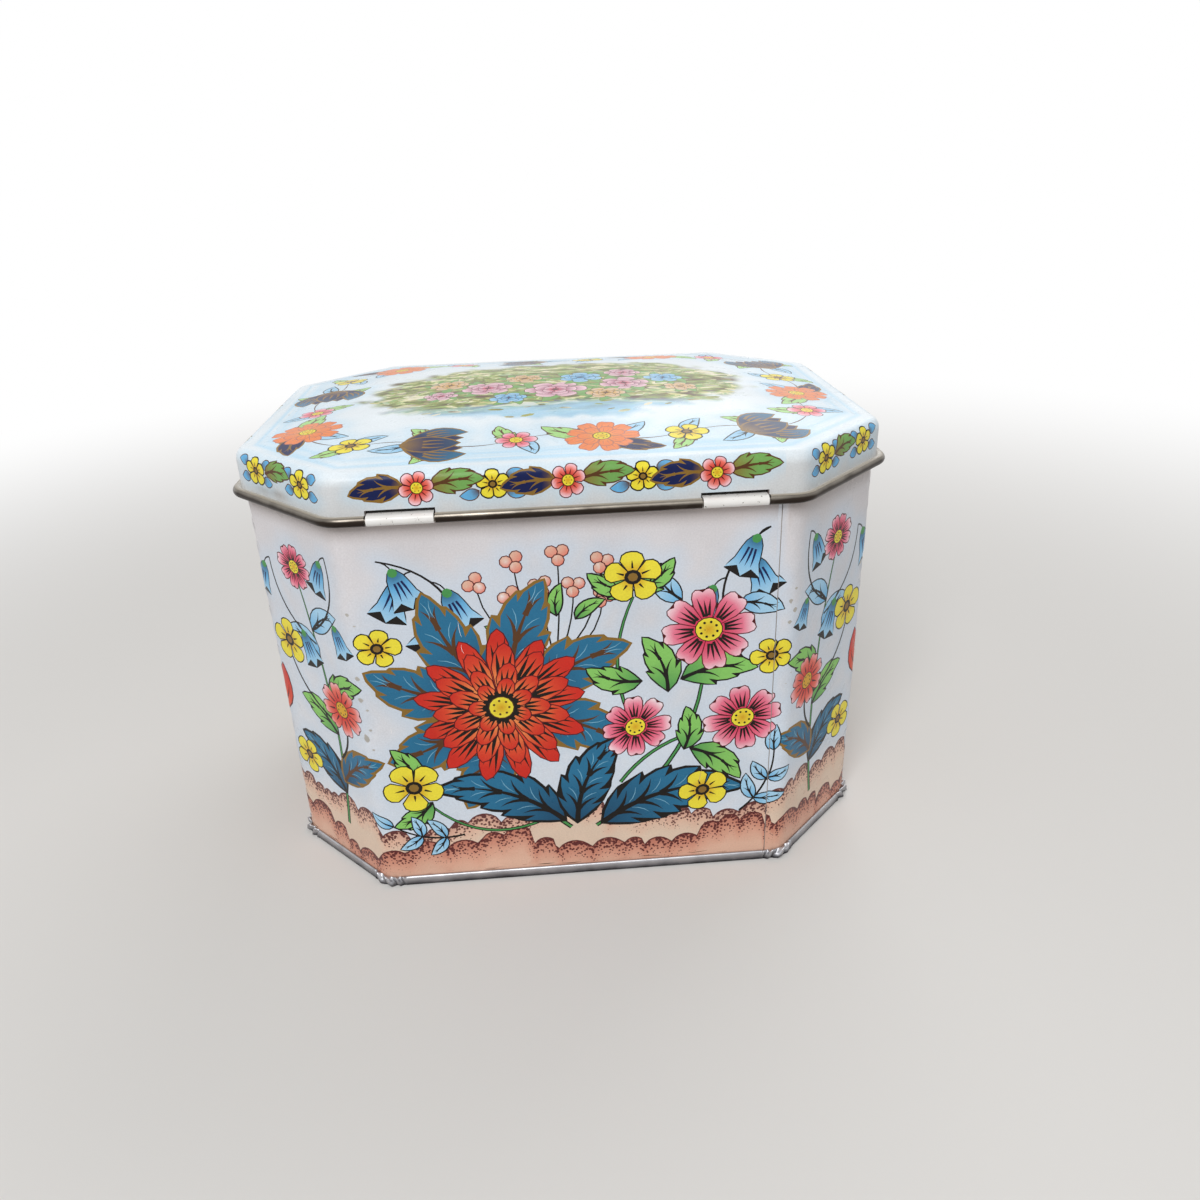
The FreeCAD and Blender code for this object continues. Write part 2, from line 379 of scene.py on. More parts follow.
def tulip(sheet, at, angle, size, stopsOf=tulipLook, line="maroon", weight=1.0):
    aim = size * heading(angle)

    def blade(tip, bulge, lean):
        # One cupped petal from the base to its tip.
        t = np.linspace(0, 1, 9)
        spine = tip * t + 1j * lean * np.sin(np.pi * t)
        half = bulge * np.sin(np.pi * t ** 0.85) ** 0.75
        ring = np.concatenate([spine + 1j * half, (spine - 1j * half)[::-1]])
        return at + aim * ring, at + aim * spine

    for kind, tip, bulge, lean in tulipPetals:
        ring, spine = blade(tip, bulge, lean)
        stops = [(share * size, name) for share, name in stopsOf[kind]]
        outlined(sheet, ring, stops, at, line, weight * (0.016 * size + 0.14))
        for sideways in (-0.5, 0, 0.5):
            shift = 1j * aim * bulge * sideways
            path = spine[3:7] + shift * np.array([0.8, 1, 1, 0.9])
            paint(sheet, ribbon(path, 0.036 * weight * size, 0.026 * weight * size, 0.05), line)


def bell(sheet, at, angle, size):
    aim = size * heading(angle)
    t = np.linspace(0, 1, 7)
    half = 0.12 + 0.26 * t ** 0.55 + 0.12 * np.maximum(0, t - 0.7) / 0.3
    rim = np.array([0.86 + 0.2j, 1.12, 0.86 - 0.2j])
    ring = np.concatenate([t + 1j * half, rim, (t - 1j * half)[::-1]])
    stops = [(0, "deepTeal"), (0.5 * size, "sky"), (1.0 * size, "paleSky")]
    outlined(sheet, at + aim * ring, stops, at, "black", 0.34)
    for side in (-0.16, 0, 0.16):
        path = at + aim * bow(0.3 + 0.6j * side, 0.82 + 1j * side, 0.02, 4)
        paint(sheet, ribbon(path, 0.06 * size, 0.06 * size, 0.05), "navy")
    paint(sheet, circle(at + 0.02 * aim, 0.13 * size, 8), "deepGreen")


def bellSpray(sheet, start, end, sag, bells, size):
    path = stem(sheet, start, end, sag, 0.7, None)
    for k in range(bells):
        spot = path[int((0.4 + 0.6 * k / max(1, bells - 1)) * (len(path) - 1))]
        side = 1 if k % 2 else -1
        hang = spot + complex(side * 0.36 * size, -0.3 * size)
        paint(sheet, ribbon(bow(spot, hang, 0.15 * side, 5), 0.5, 0.4), "black")
        bell(sheet, hang, -90 + 22 * side, size * dice.uniform(0.9, 1.1))


def berrySpray(sheet, at, angle, size, count):
    for k in range(count):
        spread = 74 * (k / (count - 1) - 0.5)
        spot = at + size * heading(angle + spread) * (1.04 if k % 2 else 0.76)
        paint(sheet, ribbon(bow(at, spot, 0.004 * spread, 6), 0.55, 0.4), "black")
        if k % 2:
            root = at + 0.45 * (spot - at)
            leaf(sheet, root, angle + 2.2 * spread, 0.3 * size, 0.12 * size, "green", 0, 0.1)
        berry = 0.02 * size + 1.0
        stops = [(0, "white"), (0.6 * berry, "peach"), (1.6 * berry, "coral")]
        for turn in (40, 160, 280):
            middle = spot + 1.1 * berry * heading(turn + spread)
            light = middle + 0.4 * berry * heading(120)
            outlined(sheet, circle(middle, berry, 9), stops, light, "maroon", 0.32)


def angleOf(step):
    return math.degrees(math.atan2(step.imag, step.real))


def twig(sheet, start, end, sag, look, pairs, size):
    # A stem with leaflets in pairs and one at its end.
    path = stem(sheet, start, end, sag, 0.7, None)
    for k in range(pairs):
        here = int((0.3 + 0.6 * k / pairs) * (len(path) - 1))
        angle = angleOf(path[here + 1] - path[here])
        for side in (1, -1):
            length = size * dice.uniform(0.9, 1.1)
            leaf(sheet, path[here], angle + side * 52, length, 0.46 * size, look, 0, 0.08 * side)
    leaf(sheet, path[-1], angleOf(path[-1] - path[-3]), size, 0.46 * size, look, 0, 0.05)


class Panel(list):
    # Shapes drawn from the middle of one face of the box, mirrored where asked.
    def __init__(self, sheet, middle, mirror):
        super().__init__()
        self.sheet, self.middle, self.mirror = sheet, middle, mirror

    def append(self, shape):
        flip = (lambda p: -np.conj(p)) if self.mirror else (lambda p: p)
        shape["points"] = tidyRing(flip(shape["points"]) + self.middle)
        shape["middle"] = flip(shape["middle"]) + self.middle
        self.sheet.append(shape)


# Beds of flowers: what is drawn, from back to front, each with its place from the middle of the face's foot.
# Long faces have a dahlia in a star of leaves to one side and daisies on arching stems to the other.
dahliaAt = -23 + 64j
dahliaLeaves = ((26, 43), (70, 43), (117, 43), (160, 41), (206, 39), (250, 38), (337, 41))
longBed = (
    (stem, ((-4 + 18j, -21 + 52j, 0.1, 1.7), (4 + 18j, 38 + 82j, -0.14, 1.5), (18 + 52j, 17 + 98j, 0.12, 1.2),
            (12 + 34j, 49 + 52j, 0.14, 1.3), (-8 + 24j, -50 + 33j, 0.22, 1.2))),
    (bellSpray, ((-32 + 86j, -54 + 113j, -0.2, 4, 11.5), (43 + 92j, 56 + 117j, 0.16, 3, 10.5))),
    (berrySpray, ((-6 + 78j, 92, 33, 8),)),
    (leaf, [(dahliaAt + 8 * heading(angle), angle, reach - 8, 17.5, "goldTeal", 4, 0.06)
            for angle, reach in dahliaLeaves]),
    (leaf, (
        (-6 + 21j, 160, 42, 16, "teal", 5, -0.12), (-2 + 20j, 66, 33, 15, "teal", 5, 0.1),
        (6 + 19j, 13, 46, 18, "teal", 6, 0.12), (19 + 70j, 162, 17, 9, "green", 3, 0.1),
        (31 + 70j, 6, 23, 11, "green", 3, 0.1), (27 + 66j, 112, 20, 10, "green", 3, -0.1),
        (34 + 45j, 322, 20, 9.5, "green", 3, 0.1), (32 + 45j, 88, 15, 8, "green", 3, -0.1),
        (48 + 94j, 346, 13, 6.5, "sky", 0, 0.08), (31 + 96j, 128, 13, 6.5, "sky", 0, 0.08),
        (17 + 100j, 156, 14, 7, "green", 3, 0.1), (18 + 100j, 40, 14, 7, "green", 3, -0.1),
        (-47 + 31j, 214, 15, 7.5, "green", 3, 0.1), (-50 + 36j, 116, 17, 8, "green", 3, -0.1))),
    (twig, ((50 + 20j, 60 + 42j, -0.12, "sky", 2, 9), (-38 + 18j, -60 + 23j, 0.12, "sky", 2, 8))),
    (daisy, ((50 + 55j, 12.8, 20, 0.9), (39 + 86j, 14.5, -15, 0.94), (17 + 54j, 11.5, 40, 0.9))),
    (dahlia, ((dahliaAt, 26.5),)),
    (buttercup, ((17 + 104j, 8.6, 20), (-52 + 37j, 9.2, 50), (38 + 29j, 8.2, 10, 0.88, 30),
                 (58 + 76j, 6.2, 40), (-57 + 86j, 6.8, 5))),
)
# Short faces have three tulips from one root, with bells and berries above.
shortBed = (
    (stem, ((18j, 66j, 0.03, 1.7), (-2 + 20j, -24 + 48j, 0.14, 1.4), (2 + 20j, 25 + 54j, -0.14, 1.4))),
    (bellSpray, ((-8 + 84j, -33 + 113j, -0.16, 4, 11),)),
    (berrySpray, ((6 + 84j, 70, 30, 7),)),
    (twig, ((22 + 72j, 36 + 104j, -0.1, "sky", 3, 10),)),
    (leaf, (
        (-2 + 22j, 128, 40, 16, "teal", 5, 0.1), (3 + 22j, 40, 40, 16, "teal", 5, -0.1),
        (-5 + 19j, 168, 34, 14, "teal", 5, -0.12), (6 + 19j, 10, 34, 14, "teal", 5, 0.12),
        (2 + 44j, 42, 20, 10, "green", 3, 0.08), (1 + 55j, 24, 17, 9, "green", 3, 0.08),
        (-2 + 44j, 138, 20, 10, "green", 3, -0.08), (-1 + 55j, 156, 17, 9, "green", 3, -0.08))),
    (tulip, ((-25 + 46j, 108, 27), (26 + 52j, 74, 28), (60j, 90, 35))),
    (daisy, ((-26 + 87j, 10.5, 10),)),
    (buttercup, ((13 + 36j, 7.4, 30), (-14 + 38j, 7, 10), (-34 + 32j, 7.4, 10), (34 + 34j, 7.8, 40))),
)
# Cut corners have one tall sprig that leans from side to side.
sprig = bow(-4 + 16j, 2 + 104j, 0.06, 21)
cornerBed = (
    (paint, ((ribbon(sprig, 1.5, 1.2, 0.6), "black"), (ribbon(sprig, 0.7, 0.55, 0.2), "deepGreen"))),
    (leaf, (
        (sprig[3], 38, 25, 12, "teal", 4, 0.1), (sprig[4], 146, 23, 11, "goldTeal", 4, -0.1),
        (sprig[8], 28, 19, 9.5, "green", 3, 0.1), (sprig[11], 154, 18, 9, "green", 3, -0.1),
        (sprig[14], 26, 16, 8, "sky", 0, 0.1), (sprig[16], 150, 15, 7.5, "sky", 0, -0.1))),
    (bellSpray, ((sprig[15], 15 + 106j, -0.18, 2, 10), (sprig[16], -15 + 113j, 0.18, 2, 9))),
    (stem, ((sprig[6], -11 + 60j, 0.14, 0.9, None), (sprig[9], 13 + 76j, -0.14, 0.9, None))),
    (daisy, ((-11 + 62j, 10, 30, 0.92, "coral", "amber"),)),
    (buttercup, ((12 + 79j, 8, 15), (13 + 36j, 6.8, 45))),
    (daisy, ((2 + 106j, 8.4, 0, 0.88),)),
)
wallFaces = (  # face, its bed, mirrored or not
    ("cornerOne", cornerBed, False), ("shortOne", shortBed, False), ("cornerTwo", cornerBed, True),
    ("front", longBed, True), ("cornerThree", cornerBed, False), ("shortTwo", shortBed, True),
    ("cornerFour", cornerBed, True), ("rear", longBed, False),
)


def plant(sheet, bed):
    for draw, rows in bed:
        for row in rows:
            draw(sheet, *row)


# Sandy hills along the foot, darker and dotted below their scalloped edges. Stops are depths below the edge.
footRows = (
    {"height": 22.5, "wave": 3.6, "phase": 0.4, "bump": 9.5,
     "stops": [(0, "clay"), (4.5, "peach"), (9, "sand")]},
    {"height": 12.0, "wave": 3.4, "phase": 2.1, "bump": 11.0,
     "stops": [(0, "brick"), (3.5, "terracotta"), (7, "salmon"), (11, "peach")]},
)
dotStops = [(0, 1.0), (0.9, 0.86), (2.2, 0.74), (4.0, 0.58), (6.5, 0.36), (9.0, 0.0)]  # depth, share of dots
hillFoot = 2.2  # no hill's edge comes lower than this


def hillLine(row):
    # A skyline round the whole wall, one low arch after another.
    line, along, end = [], -6.0, wallRound + 6.0
    while along < end:
        width = row["bump"] * dice.uniform(0.4, 1.2)
        base = row["height"] + row["wave"] * math.sin(2 * math.pi * 7 * along / wallRound + row["phase"])
        base += 0.6 * row["wave"] * math.sin(2 * math.pi * 17 * along / wallRound + 2 * row["phase"])
        t = np.linspace(0, 1, 8)[:-1]
        line.append(along + width * t + 1j * (base + 0.3 * width * np.sin(np.pi * t) ** 0.7))
        along += width
    return np.concatenate(line)


def footHills(sheet):
    for row in footRows:
        line = hillLine(row)

        def depthOf(flat, line=line):
            return np.interp(flat.real, line.real, line.imag) - flat.imag

        for k, (drop, share) in enumerate(dotStops[:-1]):
            lower = line[::1 if drop < 1 else 2] - 1j * drop
            lower = lower.real + 1j * np.maximum(lower.imag, hillFoot - 0.2 * k)
            ring = np.concatenate([lower, [line[-1].real - 9j, line[0].real - 9j]])
            paint(sheet, ring, row["stops"], halo=False)
            sheet[-1]["depth"] = depthOf


wearAndShade = {
    "misprint": 0.4 + 0.35j,  # how far the print is out of line across the lap
    "fromLap": (8, 14), "scuffs": 70, "scuffHeight": (3.3, 4.1), "scuffLength": (1.5, 7),
    "scuffWidth": (0.15, 0.4), "scuffInks": ("umber", "brown", "clay"),
    "scratches": 26, "scratchHeight": (12, 118), "scratchLength": (1.5, 6), "scratchTurn": (70, 45),
    # The last three give the black painted shade above each hinge tab: half its width, its foot and its top
    "scratchInks": ("white", "white", "clay"), "gapShadeHalf": 9.2, "gapShadeFoot": 126.2, "gapShadeTop": 128.6,
}


def drawWearAndShade(sheet):
    # Scuffs along the rim, a few scratches, and black painted shade in the gap above each hinge tab
    first, last = wearAndShade["fromLap"][0], wallRound - wearAndShade["fromLap"][1]
    for k in range(wearAndShade["scuffs"]):
        start = complex(dice.uniform(first, last), dice.uniform(*wearAndShade["scuffHeight"]))
        end = start + complex(dice.uniform(*wearAndShade["scuffLength"]), dice.gauss(0, 0.15))
        scuff = ribbon(bow(start, end, dice.gauss(0, 0.02), 4), 0.05, dice.uniform(*wearAndShade["scuffWidth"]), 0.05)
        paint(sheet, scuff, dice.choice(wearAndShade["scuffInks"]), halo=False)
    for k in range(wearAndShade["scratches"]):
        start = complex(dice.uniform(first, last), dice.uniform(*wearAndShade["scratchHeight"]))
        end = start + dice.uniform(*wearAndShade["scratchLength"]) * heading(dice.gauss(*wearAndShade["scratchTurn"]))
        scratch = ribbon(bow(start, end, dice.gauss(0, 0.05), 4), 0.04, 0.16, 0.04)
        paint(sheet, scratch, dice.choice(wearAndShade["scratchInks"]), halo=False)
    # The gap above each tab is painted black as shade
    half, foot, top = wearAndShade["gapShadeHalf"], 1j * wearAndShade["gapShadeFoot"], 1j * wearAndShade["gapShadeTop"]
    for side in (1, -1):
        middle = panelMiddle["rear"] - side * hinge["tabMiddle"]
        gapShade = middle + np.array([foot - half, foot + half, top + half, top - half])
        paint(sheet, gapShade, "black", halo=False)


def drawWall():
    sheet = []
    footHills(sheet)
    for name, bed, mirror in wallFaces:
        plant(Panel(sheet, panelMiddle[name], mirror), bed)
    drawWearAndShade(sheet)
    wrapped = []
    for shape in sheet:
        wrapped.append(shape)
        reach = shape["points"].real
        past = reach.max() > wallRound - 1
        if (past or reach.min() < 0) and "depth" not in shape:
            shift = -wallRound + wearAndShade["misprint"] if past else wallRound
            wrapped.append({**shape, "points": shape["points"] + shift, "middle": shape["middle"] + shift})
    return wrapped


skirtArt = {
    "middle": 133.8, "bloom": 5.0, "cup": 4.4, "leaf": 14.5, "leafWidth": 7.0, "comma": 7.5,
    "rows": {"front": ((-40.2, 0, 40.2), (-20.1, 20.1)), "rear": ((-40.2, 0, 40.2), (-20.1, 20.1)),
             "shortOne": ((-19.8, 19.8), (0,)), "shortTwo": ((-19.8, 19.8), (0,))},  # blooms, cups
    "corners": ("cornerOne", "cornerTwo", "cornerThree", "cornerFour"), "cornerCup": 11,
}


def skirtBloom(sheet, along):
    # One bloom between a dark leaf and a green one.
    level = along + 1j * skirtArt["middle"]
    leaf(sheet, level + 3.4 + 0.3j, 6, skirtArt["leaf"], skirtArt["leafWidth"], "fern", 3, 0.05)
    leaf(sheet, level - 3.4 + 0.3j, 186, skirtArt["leaf"], skirtArt["leafWidth"], "navy", 3, -0.05)
    petals(sheet, level, skirtArt["bloom"] * 0.94, 6, "coral", 15, 1, 0.0, 2.6)
    flowerEye(sheet, level, 1.5, "yellow", "brown", 6)


def skirtCup(sheet, along, room):
    # A yellow cup with a pair of drops to each side.
    level = along + 1j * skirtArt["middle"]
    for side in (1, -1):
        for rise in (1.7, -1.7):
            drop = level + side * (skirtArt["cup"] - 0.6) + 1j * rise
            angle, length = 90 - side * (90 - 8 * rise), min(room, skirtArt["comma"])
            leaf(sheet, drop, angle, length, 2.9, "dusk", 0, 0.05 * side * rise)
    buttercup(sheet, level, skirtArt["cup"], 20)


def drawSkirt():
    sheet = []
    for name, (blooms, cups) in skirtArt["rows"].items():
        for place in cups:
            skirtCup(sheet, panelMiddle[name] + place, 5.2)
        for place in blooms:
            skirtBloom(sheet, panelMiddle[name] + place)
    for name in skirtArt["corners"]:
        skirtCup(sheet, panelMiddle[name] - skirtArt["cornerCup"], 4.0)
        skirtCup(sheet, panelMiddle[name] + skirtArt["cornerCup"], 4.0)
        leaf(sheet, panelMiddle[name] - 6 + 1j * skirtArt["middle"], 4, 12, 6, "fern", 3, 0.1)
    return sheet


lidArt = {"inset": 17.5, "blooms": 20, "pictureWidth": 64.0, "pictureDepth": 41.0, "ragged": 0.05,
          "dabs": 420}
vineLeaves = (  # for each kind of bloom: angle from the vine, length, width, look, lobes, sag
    ((152, 19, 8.5, "warmGreen", 3, 0.1), (-28, 19, 8, "navy", 3, -0.1), (35, 16, 6, "sky", 0, -0.1)),
    ((-115, 12, 6, "warmGreen", 3, 0.1), (62, 11, 5, "sky", 0, 0.1)),
    ((116, 14, 6.6, "warmGreen", 3, -0.1), (-110, 13, 6, "warmGreen", 3, 0.1)),
    ((115, 12, 6, "warmGreen", 3, 0.1), (-62, 11, 5, "sky", 0, 0.1)),
)
darkTulip = {
    "back": [(0, "gold"), (0.5, "navy")],
    "side": [(0, "gold"), (0.4, "navy"), (1.1, "teal")],
    "front": [(0, "gold"), (0.45, "navy"), (1.0, "deepTeal")],
}


def lidBorder(sheet):
    # A vine round the lid: marigolds and dark tulips, with cups and primroses between them.
    corners = octagon(lidArt["inset"])
    sides = [np.linspace(a, b, 60, endpoint=False) for a, b in zip(corners, np.roll(corners, -1))]
    track = np.concatenate([*sides, corners[:1]])
    run = np.concatenate([[0], np.cumsum(np.abs(np.diff(track)))])

    def onTrack(distance, out=0.0):
        places = (distance + np.linspace(-9, 9, 19)) % run[-1]
        ring = np.interp(places, run, track.real) + 1j * np.interp(places, run, track.imag)
        along = ring[-1] - ring[0]
        along /= abs(along)
        return ring.mean() - 1j * along * out, along

    pitch = run[-1] / lidArt["blooms"]
    for k in range(lidArt["blooms"]):
        reach = np.linspace(k * pitch + 2, (k + 1) * pitch - 2, 9)
        swing = [3.0 * math.sin(math.pi * (d - k * pitch) / pitch) * (-1) ** k for d in reach]
        vine = np.array([onTrack(d, out)[0] for d, out in zip(reach, swing)])
        paint(sheet, ribbon(vine, 0.15, 0.5, 0.15), "brown")
    for k in range(lidArt["blooms"]):
        at, along = onTrack(k * pitch)
        angle, kind = angleOf(along), k % 4
        for turn, *shape in vineLeaves[kind]:
            leaf(sheet, at, angle + turn, *shape)
        if kind == 0:
            petals(sheet, at, 10.6, 9, "marigold", angle, 2, 0.1, 2.6)
            petals(sheet, at, 6.8, 7, "marigold", angle + 20, 1, 0.0, 2.4)
            flowerEye(sheet, at, 2.4, "yellow", "brown", 7)
        elif kind == 1:
            buttercup(sheet, at, 6.0, angle)
        elif kind == 2:
            leaf(sheet, at - 5 * along, angle + 190, 12, 5, "sky", 0, 0.1)
            tulip(sheet, at - along * 8, angle, 18, darkTulip, "gold", 1.5)
        else:
            petals(sheet, at, 5.8, 6, "primrose", angle, 1, 0.0, 2.4)
            flowerEye(sheet, at, 1.8, "yellow", "brown", 5)


def softNoise(flat, size, seed):
    # Smooth random values about -1.5 to 1.5, in lumps of the given size.
    waves = np.random.default_rng(seed)
    total = np.zeros(flat.shape)
    for k in range(12):
        turn, phase = waves.uniform(0, 2 * np.pi), waves.uniform(0, 2 * np.pi)
        stretch = waves.uniform(0.6, 1.5)
        total += np.sin((flat * np.exp(1j * turn)).real * 2 * np.pi / (2 * size * stretch) + phase)
    return total / math.sqrt(6)


def pictureGround(spots):
    # How far the oval picture covers the ground.
    out = np.hypot(spots.real / lidArt["pictureWidth"], spots.imag / lidArt["pictureDepth"])
    out = out + lidArt["ragged"] * softNoise(spots, 6, 9)
    return np.clip((1.0 - out) / 0.1, 0, 1)


def rosette(sheet, at, radius, look):
    for k in range(6):
        leaf(sheet, at, 60 * k + dice.uniform(-20, 20), 1.5 * radius, 0.6 * radius, "soft", 0, 0.1)
    turn = dice.uniform(0, 60)
    for share, count in ((1.0, 6), (0.7, 5), (0.42, 4)):
        petals(sheet, at, share * radius, count, look, turn + 200 * share, 1, 0.0, 3.2)
    paint(sheet, circle(at, 0.13 * radius, 7), petalLooks[look][0])


dabInks = {"dark": ("olive", "deepMoss", "moss", "brown", "deepGreen", "straw", "cream", "brown"),
           "pale": ("moss", "straw", "cream", "olive")}
bouquet = (  # place, radius, look
    (-22 + 3j, 8.5, "pinkRose"), (1 + 9j, 10, "pinkRose"), (23 + 2j, 8.5, "pinkRose"),
    (-8 - 8j, 7.5, "blueRose"), (-36 - 5j, 6.5, "blueRose"), (36 - 7j, 6.5, "goldRose"),
    (11 - 10j, 6.5, "goldRose"), (-15 + 16j, 6.5, "goldRose"), (16 + 17j, 6, "blueRose"),
    (-23 - 14j, 6.5, "pinkRose"), (38 + 8j, 5.5, "pinkRose"), (-40 + 9j, 5.5, "goldRose"),
)


def lidPicture(sheet):
    # The oval in the middle: a loose painted bouquet on the foliage.
    wide, deep = lidArt["pictureWidth"], lidArt["pictureDepth"]
    for k in range(lidArt["dabs"]):
        spin, out = dice.uniform(0, 2 * math.pi), 0.95 * math.sqrt(dice.uniform(0, 1))
        spot = complex(wide * out * math.cos(spin), deep * out * math.sin(spin))
        if spot.imag > 0.5 * deep and k % 4:
            continue
        size = dice.uniform(1.3, 3.0)
        dark, pale = dice.choice(dabInks["dark"]), dice.choice(dabInks["pale"])
        dab = circle(spot, size, 6, dice.uniform(0.25, 0.5), heading(dice.gauss(0, 25)))
        light = spot + 0.7 * size * heading(dice.uniform(200, 340))
        paint(sheet, dab, [(0, dark), (1.7 * size, pale)], light, False)
    for row in bouquet:
        rosette(sheet, *row)


def drawLidTop():
    sheet = []
    lidPicture(sheet)
    lidBorder(sheet)
    return sheet


# Meshing: flat drawings become triangles, each with the colours of the shape on top.


def withShares(colour, painted=None):
    # Adds the share of dots and of the painted picture to bare ground.
    shares = np.zeros((len(colour), 2))
    shares[:, 1] = 0 if painted is None else painted
    return np.concatenate([colour, shares], 1)


def printedPatch(sheet, border, gridStep, groundOf, haloReach, more=()):
    points = list(border)
    faces = [list(range(len(border)))]
    for shape in sheet:
        faces.append(list(range(len(points), len(points) + len(shape["points"]))))
        points.extend(shape["points"])
    x, y = border.real, border.imag
    across = np.arange(x.min() + gridStep / 2, x.max(), gridStep)
    for k, level in enumerate(np.arange(y.min() + gridStep / 2, y.max(), 0.87 * gridStep)):
        points.extend(across + (gridStep / 2 if k % 2 else 0) + 1j * level)
    points.extend(more)
    flat = [Vector((p.real, p.imag)) for p in points]
    found, _, triangles, _, _, covers = delaunay_2d_cdt(flat, [], faces, 0, 1e-5, True)
    spots = np.array([complex(p.x, p.y) for p in found])
    top = np.array([max(cover) if 0 in cover else -1 for cover in covers])
    triangles = np.array(triangles)[top >= 0]
    top = top[top >= 0]
    used, renamed = np.unique(triangles, return_inverse=True)
    spots, triangles = spots[used], renamed.reshape(-1, 3)

    # The bare ground turns bluer close to the drawing.
    tree = kdtree.KDTree(sum(len(shape["points"]) for shape in sheet if shape["halo"]) + 1)
    tree.insert((1e4, 1e4, 0), 0)
    for shape in sheet:
        if shape["halo"]:
            for p in shape["points"]:
                tree.insert((p.real, p.imag, 0), 0)
    tree.balance()
    near = np.array([tree.find((p.real, p.imag, 0))[2] for p in spots])
    groundColour = groundOf(spots, np.exp(-(near / haloReach) ** 2))
    colours = np.zeros((len(triangles), 3, 5))
    order = np.argsort(top, kind="stable")
    bounds = np.flatnonzero(np.diff(top[order])) + 1
    for group in np.split(order, bounds):
        corners, number = triangles[group], top[group[0]]
        stops = sheet[number - 1]["stops"] if number else None
        if stops is None:
            colours[group] = groundColour[corners]
            continue
        shape, flat = sheet[number - 1], spots[corners]
        reach = shape["depth"](flat) if "depth" in shape else np.abs(flat - shape["middle"])
        if "depth" in shape:
            colours[group, :, 3] = np.interp(reach, *zip(*dotStops))
        for channel in range(3):
            steps = [(distance, inkLinear[name][channel]) for distance, name in stops]
            colours[group, :, channel] = np.interp(reach, *zip(*steps))
    return spots, triangles, colours


def asPart(points, normals, faces, material, flat, atlas, colours=None):
    # flat: each point's place on the unrolled sheet. atlas: (corner of its patch in the map, scale).
    corner, scale = atlas
    return {"points": points, "normals": normals, "faces": np.asarray(faces), "material": material,
            "uv": corner + scale * np.asarray(flat), "colours": colours}


def unit(vectors):
    return vectors / np.maximum(np.linalg.norm(vectors, axis=-1, keepdims=True), 1e-12)


def runOf(points):
    # Distance along a run of points.
    return np.concatenate([[0], np.cumsum(np.linalg.norm(np.diff(points, axis=0), axis=1))])


def quads(count, rows):
    index = np.arange(count * rows).reshape(count, rows)
    return np.stack([index[:-1, :-1], index[1:, :-1], index[1:, 1:], index[:-1, 1:]], -1).reshape(-1, 4)


def sweepPart(places, profile, material, closed, atlas):
    # profile: (offset, height) pairs anticlockwise, the same for every place or one list for each.
    profile = np.broadcast_to(np.asarray(profile, float), (len(places), *np.shape(profile)[-2:]))
    grid = np.stack([sheetPoint(places, *row.T) for row in profile.transpose(1, 0, 2)], 1)
    around = np.concatenate([grid[-2:-1], grid, grid[1:2]]) if closed else grid
    alongStep = np.gradient(around, axis=0)
    alongStep = alongStep[1:-1] if closed else alongStep
    normals = unit(np.cross(alongStep, np.gradient(grid, axis=1)))
    faces = quads(*grid.shape[:2])
    run = runOf(profile[0])
    flat = (places[:, None] - places[0] + 1j * run[None, :]).ravel()
    return asPart(grid.reshape(-1, 3), normals.reshape(-1, 3), faces, material, flat, atlas)


def bridgePart(first, second, material, atlas):
    # A strip between two runs of points of the same count.
    points = np.concatenate([first, second])
    count = len(first)
    faces = [(k, k + 1, count + k + 1, count + k) for k in range(count - 1)]
    side = unit(np.cross(np.gradient(first, axis=0), second - first))
    run = runOf(first)
    flat = np.concatenate([run + 0j, run + 1j * np.linalg.norm(second - first, axis=1)])
    return asPart(points, np.concatenate([side, side]), faces, material, flat, atlas)


def zipPart(first, second, firstKeys, secondKeys, normal, material, atlas):
    # Triangles between two runs of points of different counts, both in rising order.
    faces, i, j = [], 0, 0
    count = len(first)
    while i < count - 1 or j < len(second) - 1:
        if j == len(second) - 1 or (i < count - 1 and firstKeys[i + 1] <= secondKeys[j + 1]):
            faces.append((i, count + j, i + 1))
            i += 1
        else:
            faces.append((i, count + j, count + j + 1))
            j += 1
    points = np.concatenate([first, second])
    flat = np.concatenate([firstKeys + 0j, secondKeys + 0.3j])
    return asPart(points, np.tile(normal, (len(points), 1)), faces, material, flat, atlas)


def flipped(part):
    part["faces"] = part["faces"][:, ::-1]
    part["normals"] = -part["normals"]
    if part["colours"] is not None:
        part["colours"] = part["colours"][:, ::-1]
    return part


weldReach = 0.01


def weld(points, faces):
    # Joins the open edges of neighbouring parts.
    edges = {}
    for face in faces:
        for a, b in zip(face, np.roll(face, -1)):
            key = (a, b) if a < b else (b, a)
            edges[key] = edges.get(key, 0) + 1
    rim = sorted({v for key, count in edges.items() if count == 1 for v in key})
    tree = kdtree.KDTree(len(rim))
    for v in rim:
        tree.insert(points[v], v)
    tree.balance()
    target = np.arange(len(points))
    for v in rim:
        target[v] = min(found[1] for found in tree.find_range(points[v], weldReach))
    return target[target]


